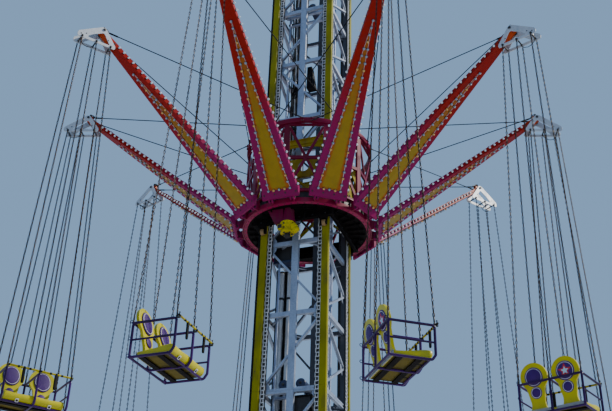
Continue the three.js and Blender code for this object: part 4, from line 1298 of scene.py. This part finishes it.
STAY_ROOT, STAY_Z = 5.370, 3.190
block = []
for inner, outer, half, z in ((5.322, 5.418, 0.049, 3.140), (5.335, 5.405, 0.040, 3.256)):
    corners = ((inner, -half), (inner, half), (outer, half), (outer, -half))
    block.append([around(0, radius, x, z) for radius, x in corners])
arm.loft(block, arm_paint)
for flip in SIDES:
    x, z = flip * 0.020, STAY_Z + flip * 0.060
    low = around(0, STAY_ROOT + 0.055, x - 0.012, z - 0.022)
    high = around(0, STAY_ROOT - 0.085, x + 0.012, z + 0.022)
    arm.box(low, high, dark_steel_and_shade)
    shackle = [
        around(0, STAY_ROOT - 0.02 + 0.034 * c, flip * 0.030, 3.266 + 0.030 * s)
        for c, s in round_steps(14)
    ]
    arm.tube(shackle, 0.0095, 8, dark_steel_and_shade, closed=True)
    cap = [(0.026, 0), (0.030, 0.012), (0.030, 0.045), (0.018, 0.058)]
    arm.turned(cap, around(0, 5.392, flip * 0.026, 3.262), UP, 10, dark_steel_and_shade)
copies(arm.make("arm_beam_1", 0.002), "arm_beam", "carousel", "arm_{}")

# %% [markdown]
# Two black stays run back from each tip to the crown, one to either side. Each is a rod with a
# turnbuckle in a rubber boot.

# %% Stays
stays = Shape(dark_steel_and_shade, black_rubber)
for side in SIDES:
    start = around(0, STAY_ROOT, 0, STAY_Z + side * 0.060)
    end = around(side * math.radians(50), 1.4766, 0, 2.130 + side * 0.040)
    along = (end - start).normalized()
    stays.tube([start + along * 0.03, end], 0.0108, 6, black_rubber)
    boot = [(0.012, 0), (0.018, 0.02), (0.018, 0.20), (0.012, 0.22)]
    stays.turned(boot, start + along * 0.10, along, 8, black_rubber)
    ferrule = [(0.012, 0), (0.015, 0.01), (0.015, 0.09), (0.011, 0.10)]
    stays.turned(ferrule, end - along * 0.13, along, 8, dark_steel_and_shade)
copies(stays.make("stay_pair_1"), "stay_pair", "carousel")

# %% [markdown]
# ### Bulbs
# Each bulb is a dark socket ring with a frosted cap. Two rows follow the panel's edges and meet
# near its point, three white bulbs and then an amber one; the white bulbs under the arm are
# darkened as painted shade. Another row runs along each side face, in paler bulbs that carry
# painted light.

# %% Bulbs
BULB_STEP = 0.1456
bulbs = Shape(bulb_painted_shade, bulb_amber, bulb_painted_light, dark_steel_and_shade)


def add_bulb(centre, axis, finish):
    bulbs.turned([(0.031, -0.004), (0.028, 0.009)], centre, axis, 8, dark_steel_and_shade)
    bulbs.turned([(0.025, 0.008), (0.029, 0.028), (0.013, 0.047)], centre, axis, 8, finish)


for step in range(26):
    s = PANEL_START + step * BULB_STEP
    half = panel_half(s)
    for w in (-half, half) if half > 0.030 else (0,):
        # painted shade: the white bulbs under the arm are the darker copy
        add_bulb(on_arm(s, w, -0.051), -ARM_UP, bulb_amber if step % 4 == 2 else bulb_painted_shade)
for s in (0.10 + step * BULB_STEP for step in range(30)):
    for flip in SIDES:
        # painted light: the bulbs on the side faces are the paler copy
        add_bulb(on_arm(s, flip * arm_half(s), 0.008), (flip, 0, 0), bulb_painted_light)
for w, finish in ((-0.125, bulb_amber), (0.0, bulb_painted_shade), (0.125, bulb_amber)):
    add_bulb(on_arm(PANEL_START, w, -0.051), -ARM_UP, finish)
copies(bulbs.make("bulbs_1", sharp=50.0), "bulbs", "carousel")

# %% [markdown]
# ## Chairs
# The frame of a chair is bent round tube. Three upright frames stand across it, joined by three
# long cross tubes. The outer frames have a middle rail, and the lower front corner is bent. Two
# dark strips under the seats join the frames as well.

# %% Chair tubes
TUBE = 0.0205
LOW, RAIL_Z, HIGH = [CHAIR_BOTTOM + height for height in (0, 0.27, 0.54)]
PLACES = [CHAIR_MIDDLE + side * SEAT_PITCH / 2 for side in SIDES]


def rounded_loop(points, radius, steps):
    """The same closed path with an arc at every corner."""
    points = [Vector(p) for p in points]
    path = []
    for i, corner in enumerate(points):
        before = (points[i - 1] - corner).normalized()
        after = (points[(i + 1) % len(points)] - corner).normalized()
        half = before.angle(after) / 2
        middle = corner + (before + after).normalized() * (radius / math.sin(half))
        a = corner + before * radius / math.tan(half) - middle
        b = corner + after * radius / math.tan(half) - middle
        for t in (step / steps for step in range(steps + 1)):
            path.append(middle + (a * (1 - t) + b * t).normalized() * radius)
    return path


tubes = Shape(violet_paint, dark_steel_and_shade, grease_and_shade)
for number in (-1, 0, 1):
    y = CHAIR_MIDDLE + number * SEAT_PITCH
    corners = [(CHAIR_REAR, LOW), (CHAIR_FRONT - 0.055, LOW), (CHAIR_FRONT, LOW + 0.080)]
    corners += [(CHAIR_FRONT, HIGH), (CHAIR_REAR, HIGH)]
    path = rounded_loop([(x, y, z) for x, z in corners], 0.045, 5)
    tubes.tube(path, TUBE, 12, violet_paint, closed=True)
    if number:
        ends = [(CHAIR_REAR, y, RAIL_Z), (CHAIR_FRONT, y, RAIL_Z)]
        tubes.tube(ends, 0.0155, 10, violet_paint)
    stub = [(CHAIR_FRONT + 0.002, y, HIGH), (CHAIR_FRONT + 0.057, y, HIGH)]
    tubes.tube(stub, 0.0150, 10, dark_steel_and_shade)
    for x, z in ((CHAIR_REAR - 0.034, level + 0.030) for level in (LOW, RAIL_Z, HIGH)):
        eye = [(x + 0.022 * c, y, z + 0.022 * s) for c, s in round_steps(12)]
        tubes.tube(eye, 0.0055, 6, violet_paint, closed=True)
    for x in (CHAIR_FRONT, CHAIR_REAR):
        socket = [(0.016, 0.010), (0.018, 0.030), (0.012, 0.046)]
        tubes.turned(socket, (x, y, HIGH), UP, 10, dark_steel_and_shade)
cross_low, cross_high = [CHAIR_MIDDLE + side * (SEAT_PITCH + 0.018) for side in SIDES]
for x, z in ((0.25, LOW), (CHAIR_REAR, LOW), (CHAIR_REAR, HIGH)):
    tubes.tube([(x, cross_low, z), (x, cross_high, z)], 0.0195, 12, violet_paint)
for x in (-0.20, 0.10):
    low, high = (x - 0.045, cross_low + 0.02), (x + 0.045, cross_high - 0.02)
    tubes.box((*low, LOW - 0.012), (*high, LOW + 0.006), grease_and_shade)
made = tubes.make("chair_tubes_1", sharp=40.0)
copies(made, "chair_tubes", "chair_{}", "chair_frame_{}")

# %% [markdown]
# The hanger is a pair of plates, each with a window. Its three cross bars carry the chains,
# which hang from nuts at both ends, and a loose cable droops between two of the bars.

# %% Hanger
HANG_Y, HANG_Z = 5.538, Z + 2.793
HANG_STEP = 0.32
PLATE_IN, PLATE_OUT = 0.1105, 0.1255
hanger = Shape(hanger_grey, dark_steel_and_shade, black_rubber)


def on_hanger(a, b, x):
    return Vector((x, -HANG_Y - a, HANG_Z + b))


plate = [(-0.40, -0.036), (0.385, -0.036), (0.425, -0.012), (0.432, 0.05), (0.410, 0.105)]
plate += [(0.36, 0.14), (-0.075, 0.432), (-0.115, 0.438), (-0.155, 0.432), (-0.188, 0.40)]
plate += [(-0.42, 0.05), (-0.425, 0.0)]
window = [(-0.285, 0.040), (-0.28, 0.030), (0.19, 0.030), (0.205, 0.040), (0.195, 0.058)]
window += [(0.10, 0.145), (-0.095, 0.272), (-0.115, 0.285), (-0.140, 0.278), (-0.160, 0.26)]
window += [(-0.27, 0.075), (-0.288, 0.055)]
for flip in SIDES:
    hanger.plate(on_hanger, plate, (flip * PLATE_IN, flip * PLATE_OUT), hanger_grey, window)
    for a, b in ((0.24, 0.10), (0.35, 0.05), (-0.25, 0.14)):
        hanger.bolt(on_hanger(a, b, flip * 0.1258), (flip, 0, 0), 0.009, dark_steel_and_shade)
for number in (-1, 0, 1):
    centre = on_hanger(number * HANG_STEP, 0, 0)
    hanger.turned([(0.016, -0.150), (0.016, 0.150)], centre, ACROSS, 12, dark_steel_and_shade)
    for flip in SIDES:
        washer = [(0.026, flip * 0.127), (0.026, flip * 0.131)]
        hanger.turned(washer, centre, ACROSS, 12, dark_steel_and_shade)
        nut = [(0.024, flip * 0.142), (0.024, flip * 0.152), (0.015, flip * 0.156)]
        hanger.turned(nut, centre, ACROSS, 6, dark_steel_and_shade)
hanger.box(on_hanger(0.30, 0.075, -0.109), on_hanger(0.27, 0.125, 0.109), hanger_grey)
droop = [(0.32, -0.02), (0.30, -0.10), (0.24, -0.155), (0.16, -0.175), (0.08, -0.15)]
droop += [(0.02, -0.09), (0.0, -0.02)]
hanger.tube([on_hanger(a, b, 0.045) for a, b in droop], 0.0075, 6, black_rubber)
copies(hanger.make("hanger_1", 0.002), "hanger", "chair_{}")

# %% [markdown]
# A suspension chain is made of real links, each turned a quarter from the one before. The pitch
# is stretched a little, so that a whole number of links fills the length.

# %% Suspension chains
CHAIN_PITCH = 0.060
LINK_WIRE = 0.0084
chains = Shape(worn_chain, dark_steel_and_shade)


def add_link(start, end, normal, wire, sides):
    """One oval link, bent from wire."""
    along = (end - start).normalized()
    across = along.cross(normal).normalized() * 0.0118
    near, far = start + along * 0.012, end - along * 0.012
    path = [start - along * 0.007, near + across, far + across]
    path += [end + along * 0.007, far - across, near - across]
    chains.tube(path, wire, sides, worn_chain, closed=True)


for number in (-1, 0, 1):
    for x_low, x_high in ((CHAIR_FRONT, 0.136), (CHAIR_REAR, -0.136)):
        low = Vector((x_low, CHAIR_MIDDLE - number * SEAT_PITCH, HIGH + 0.045))
        high = on_hanger(number * HANG_STEP, -0.016, x_high)
        along = (high - low).normalized()
        level = along.orthogonal().normalized()
        normals = (along.cross(level), level)
        fitting = [(0.009, 0), (0.014, 0.01), (0.014, 0.085), (0.009, 0.095)]
        chains.turned(fitting, low, along, 8, dark_steel_and_shade)
        start = low + along * 0.16
        add_link(low + along * 0.09, start, level, 0.009, 6)
        length = (high - start).length
        count = int(length / CHAIN_PITCH)
        spots = [start + along * (length / count) * i for i in range(count + 1)]
        for i, (near, far) in enumerate(zip(spots, spots[1:])):
            add_link(near, far, normals[i % 2], LINK_WIRE, 3)
copies(chains.make("chains_1", sharp=60.0), "chains", "chair_{}")

# %% [markdown]
# ## Seats
# A bench runs across both places. Its top rises to a round front edge and dips a little where
# each rider sits. The section is lofted along the bench, so the surface stays smooth.

# %% Bench
BENCH_LOW = CHAIR_BOTTOM + 0.0155
BENCH_HALF = 0.521
STATIONS = 37
bench_section = [
    (-0.286, 0.000), (0.238, 0.000), (0.268, 0.012), (0.300, 0.042), (0.312, 0.072),
    (0.312, 0.112), (0.302, 0.132), (0.275, 0.143), (0.215, 0.142), (0.140, 0.132),
    (0.050, 0.112), (-0.050, 0.096), (-0.160, 0.082), (-0.260, 0.074), (-0.286, 0.066),
    (-0.290, 0.030),
]
bench_finishes = (under_shade_olive, hatch_shade_olive, black_rubber, dark_steel_and_shade, grey_rib, chain_steel)
bench = Shape(shell_yellow, *bench_finishes)
loops = []
for t in (2 * i / (STATIONS - 1) - 1 for i in range(STATIONS)):
    out = 1 - (1 - abs(t)) ** 1.3
    edge = max(0.0, (out - 0.965) / 0.035) ** 2
    dip = 0.011 * (0.5 - 0.5 * math.cos(2 * math.pi * out)) - 0.004
    loop = []
    for x, z in bench_section:
        on_top = min(1.0, max(0.0, (z - 0.06) / 0.03))
        height = 0.07 + (z - 0.07) * (1 - 0.22 * edge) - dip * on_top
        depth = 0.011 + (x - 0.011) * (1 - 0.05 * edge)
        y = CHAIR_MIDDLE + BENCH_HALF * math.copysign(out, t)
        loop.append((depth, y, BENCH_LOW + height))
    loops.append(loop)
bench.loft(loops, shell_yellow)
print("bench", 2 * BENCH_HALF, "m wide through", len(loops), "loops")

# %% [markdown]
# Below each place the bench has a hatch in a raised rim, with vents and bolts. A ribbed strip
# closes its rear edge, and a short strap with a buckle hangs over its front. The sheet under the
# bench, the rims and the hatches are a dark olive: the shell's yellow with painted shade.

# %% Bench fittings
# painted shade: a dark olive sheet covers the bench's underside
bench.box(
    (-0.280, CHAIR_MIDDLE - 0.515, BENCH_LOW - 0.0015),
    (0.236, CHAIR_MIDDLE + 0.515, BENCH_LOW + 0.003),
    under_shade_olive,
)
hatch_rim = rounded_rectangle(-0.100, 0.100, -0.215, 0.215, 0.03)
hatch_hole = rounded_rectangle(-0.080, 0.080, -0.195, 0.195, 0.02)
buckle = rounded_rectangle(-0.034, 0.034, -0.028, 0.028, 0.008)
buckle_hole = rounded_rectangle(-0.024, 0.018, -0.018, 0.018, 0.004)
BUCKLE_LEAN = Matrix.Rotation(math.radians(-44), 4, "Y")
for middle in PLACES:
    place = Matrix.Translation((0, middle, BENCH_LOW))
    on_bench = placed_by(place)
    rim_spot = placed_by(place @ Matrix.Translation((-0.05, 0, -0.004)))
    # painted shade: the rim and the hatch are dark olive
    bench.plate(rim_spot, hatch_rim, (-0.001, 0.005), under_shade_olive, hatch_hole)
    for low, high, finish in (
        ((-0.129, -0.194, -0.0035), (0.029, 0.194, 0.001), hatch_shade_olive),
        ((-0.3045, -0.235, 0.004), (-0.2885, 0.235, 0.082), grey_rib),
        ((0.10, -0.019, -0.0045), (0.262, 0.019, -0.001), black_rubber),
    ):
        bench.box(low, high, finish, place)
    for x, y in ((-0.08, -0.10), (-0.08, 0.10), (-0.02, -0.10), (-0.02, 0.10), (-0.05, 0.0)):
        vent = [(0.016, 0), (0.013, -0.004), (0.006, -0.004)]
        bench.turned(vent, on_bench(x, y, 0.001), UP, 12, black_rubber)
    for x in (-0.135, 0.215):
        for y in (-0.18, 0.18):
            bench.bolt(on_bench(x, y, 0), -UP, 0.008, dark_steel_and_shade)
    for y in (0.221 * (rib / 7 - 1) for rib in range(15)):
        bench.box((-0.3095, y - 0.007, 0.008), (-0.304, y + 0.007, 0.078), grey_rib, place)
    tilt = place @ Matrix.Translation((0.285, 0, 0.018)) @ BUCKLE_LEAN
    bench.plate(placed_by(tilt), buckle, (-0.012, -0.004), chain_steel, buckle_hole)
    bench.box((-0.022, -0.022, -0.010), (0.010, 0.022, -0.0045), black_rubber, tilt)
made = bench.make("bench_1", 0.002, 40.0)
copies(made, "bench", "chair_{}", "seats_{}")

# %% [markdown]
# The two backs are moulded keyhole shapes: a round head, a waist and a wide foot. Everything
# on a back is placed with its own three numbers: distance across it, height up it, and depth
# behind its front face. One function leans that frame back by 12 degrees.

# %% Backs
LEAN = math.radians(12)
BACK_FOOT = Vector((-0.195, 0, BENCH_LOW + 0.030))
BACK_THICK = 0.045
HEAD_HEIGHT = 0.61


def on_back(middle):
    """Places points on the back whose middle is at `middle` across the chair."""
    def spot(across, height, depth):
        x = BACK_FOOT.x - depth * math.cos(LEAN) - height * math.sin(LEAN)
        z = BACK_FOOT.z - depth * math.sin(LEAN) + height * math.cos(LEAN)
        return Vector((x, middle + across, z))
    return spot


def keyhole():
    waist = []
    for t in (i / 8 for i in range(1, 9)):
        half = (1 - t) ** 2 * 0.225 + 2 * t * (1 - t) * 0.12 + t * t * 0.12
        waist.append((half, 2 * t * (1 - t) * 0.04 + t * t * 0.19))
    start = -math.radians(48)
    angles = [start + (math.pi - 2 * start) * i / 32 for i in range(33)]
    head = [(0.24 * math.cos(a), HEAD_HEIGHT + 0.24 * math.sin(a)) for a in angles]
    mirrored = [(-half, height) for half, height in reversed(waist)]
    return [(-0.225, 0.0), (0.225, 0.0), *waist, *head, *mirrored]


backs = Shape(shell_yellow, dark_steel_and_shade)
for middle in PLACES:
    spot = on_back(middle)
    backs.plate(spot, keyhole(), (0.0, BACK_THICK), shell_yellow)
    for w in (-0.19, 0.19):
        axis = spot(0, 0, 1) - spot(0, 0, 0)
        backs.bolt(spot(w, 0.032, BACK_THICK), axis, 0.008, dark_steel_and_shade)
copies(backs.make("backs_1", 0.012, 40.0, 3), "backs", "chair_{}")

# %% [markdown]
# Behind each back sit two padded discs with a ring of white piping. The head's disc of the
# first place carries a star.

# %% Discs behind the backs
def oval(height, wide, tall, count=36):
    return [(wide * c, height + tall * s) for c, s in round_steps(count)]


discs = Shape(purple_vinyl, piping_white, star_red, star_white)
for middle in PLACES:
    spot = on_back(middle)
    for height, radius, line in ((HEAD_HEIGHT, 0.160, 0.138), (0.348, 0.098, 0.082)):
        rows = ((radius, -0.001), (radius, 0.005), (radius - 0.006, 0.009))
        discs.loft([
            [spot(w, h, BACK_THICK + out) for w, h in oval(height, r, r)] for r, out in rows
        ], purple_vinyl)
        outer, inner = [oval(height, r, r) for r in (line + 0.003, line - 0.003)]
        levels = (BACK_THICK + 0.008, BACK_THICK + 0.0105)
        discs.plate(spot, outer, levels, piping_white, inner)
for size, out, finish in ((0.124, 0.0115, star_red), (0.070, 0.0135, star_white)):
    star = []
    for i, (c, s) in enumerate(round_steps(10, 2.5)):
        r = size * 0.44 if i % 2 else size
        star.append((r * c, HEAD_HEIGHT + r * s))
    levels = (BACK_THICK + 0.008, BACK_THICK + out)
    discs.plate(on_back(PLACES[0]), star, levels, finish)
copies(discs.make("back_discs_1", sharp=40.0), "back_discs", "chair_{}")

# %% [markdown]
# ### Pads
# Each back has a large oval pad and a small one in front. A pad is a closed form whose face
# swells towards the middle and turns in at a seam. One level of subdivision rounds it off.

# %% Pads
PAD_ROWS = (
    (0.90, -0.002), (1.00, 0.006), (1.00, 0.014), (0.94, 0.021),
    (0.80, 0.026), (0.55, 0.030), (0.25, 0.032),
)


def cushion(pieces):
    for piece in pieces:
        rounding = piece.modifiers.new("rounding", "SUBSURF")
        rounding.levels = rounding.render_levels = 1


pads, lines = Shape(purple_vinyl), Shape(piping_white)
for middle in PLACES:
    spot = on_back(middle)
    for height, wide, tall, swell in ((0.60, 0.158, 0.195, 1.0), (0.275, 0.078, 0.085, 0.8)):
        pads.loft([
            [spot(w, h, -lift * swell) for w, h in oval(height, wide * r, tall * r, 16)]
            for r, lift in PAD_ROWS
        ], purple_vinyl)
    path = [spot(w, h, -0.0225) for w, h in oval(0.60, 0.158 * 0.84, 0.195 * 0.84, 40)]
    lines.tube(path, 0.0042, 6, piping_white, closed=True)
made = pads.make("back_pads_1", sharp=60.0)
cushion(copies(made, "back_pads", "chair_{}"))
copies(lines.make("pad_lines_1", sharp=60.0), "pad_lines", "chair_{}")

# %% [markdown]
# ## Lap bars
# A yellow bar crosses in front of both riders, just in front of the front chains. It has a
# black fitting at each of the three chains, and two collars hold a soft sleeve for each rider.

# %% Lap bars
BAR_X, BAR_Z = CHAIR_FRONT + 0.041, HIGH + 0.0153 + 0.017
ALONG_BAR = (0, 1, 0)
lap = Shape(yellow_paint, black_rubber, dark_steel_and_shade)
ends = [(BAR_X, CHAIR_MIDDLE + side * 0.576, BAR_Z) for side in SIDES]
lap.tube(ends, 0.0168, 16, yellow_paint)
for side in SIDES:
    cap = [(0.0168, 0.574), (0.0205, 0.575), (0.0205, 0.580), (0.014, 0.583)]
    cap = [(r, side * h) for r, h in cap]
    lap.turned(cap, (BAR_X, CHAIR_MIDDLE, BAR_Z), ALONG_BAR, 16, black_rubber)
for offset in (-0.56, 0, 0.56):
    y = CHAIR_MIDDLE + offset
    band = [(0.0170, -0.030), (0.0183, -0.027), (0.0185, 0), (0.0183, 0.027), (0.0170, 0.030)]
    if offset:
        band = [(r, h * 0.55 - math.copysign(0.012, offset)) for r, h in band]
    lap.turned(band, (BAR_X, y, BAR_Z), ALONG_BAR, 16, black_rubber)
    knob = [(0.007, 0), (0.007, 0.022), (0.012, 0.026), (0.012, 0.040), (0.008, 0.044)]
    lap.turned(knob, (BAR_X, y, BAR_Z + 0.014), UP, 10, dark_steel_and_shade)
for y in (middle + offset for middle in PLACES for offset in (-0.10, 0.10)):
    band = [(0.0172, -0.018), (0.0195, -0.016), (0.0195, 0.016), (0.0172, 0.018)]
    lap.turned(band, (BAR_X, y, BAR_Z), ALONG_BAR, 16, black_rubber)
made = lap.make("lap_tube_1", sharp=40.0)
copies(made, "lap_tube", "lap_bar_{}_body", "lap_bar_{}")

SLEEVE_ROWS = (
    (-0.270, 0.010, 0.008), (-0.266, 0.022, 0.016), (-0.245, 0.0265, 0.0195),
    (-0.12, 0.0255, 0.0185), (-0.02, 0.0265, 0.0205), (0.012, 0.0265, 0.0205),
    (0.019, 0.020, 0.015), (0.021, 0.008, 0.006),
)
squarish = [[math.copysign(abs(value) ** 0.7, value) for value in step] for step in round_steps(16)]
sleeves = Shape(black_rubber)
for y in PLACES:
    sleeves.loft([
        [(BAR_X + deep * c, y + wide * s, BAR_Z + z) for c, s in squarish]
        for z, wide, deep in SLEEVE_ROWS
    ], black_rubber)
made = sleeves.make("lap_sleeves_1", sharp=60.0)
cushion(copies(made, "lap_sleeves", "lap_bar_{}_body"))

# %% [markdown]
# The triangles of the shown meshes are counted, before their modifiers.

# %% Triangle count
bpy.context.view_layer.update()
triangles = 0
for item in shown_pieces():
    if item.type == "MESH":
        triangles += sum(len(face.vertices) - 2 for face in item.data.polygons)
print("triangles before modifiers", triangles)
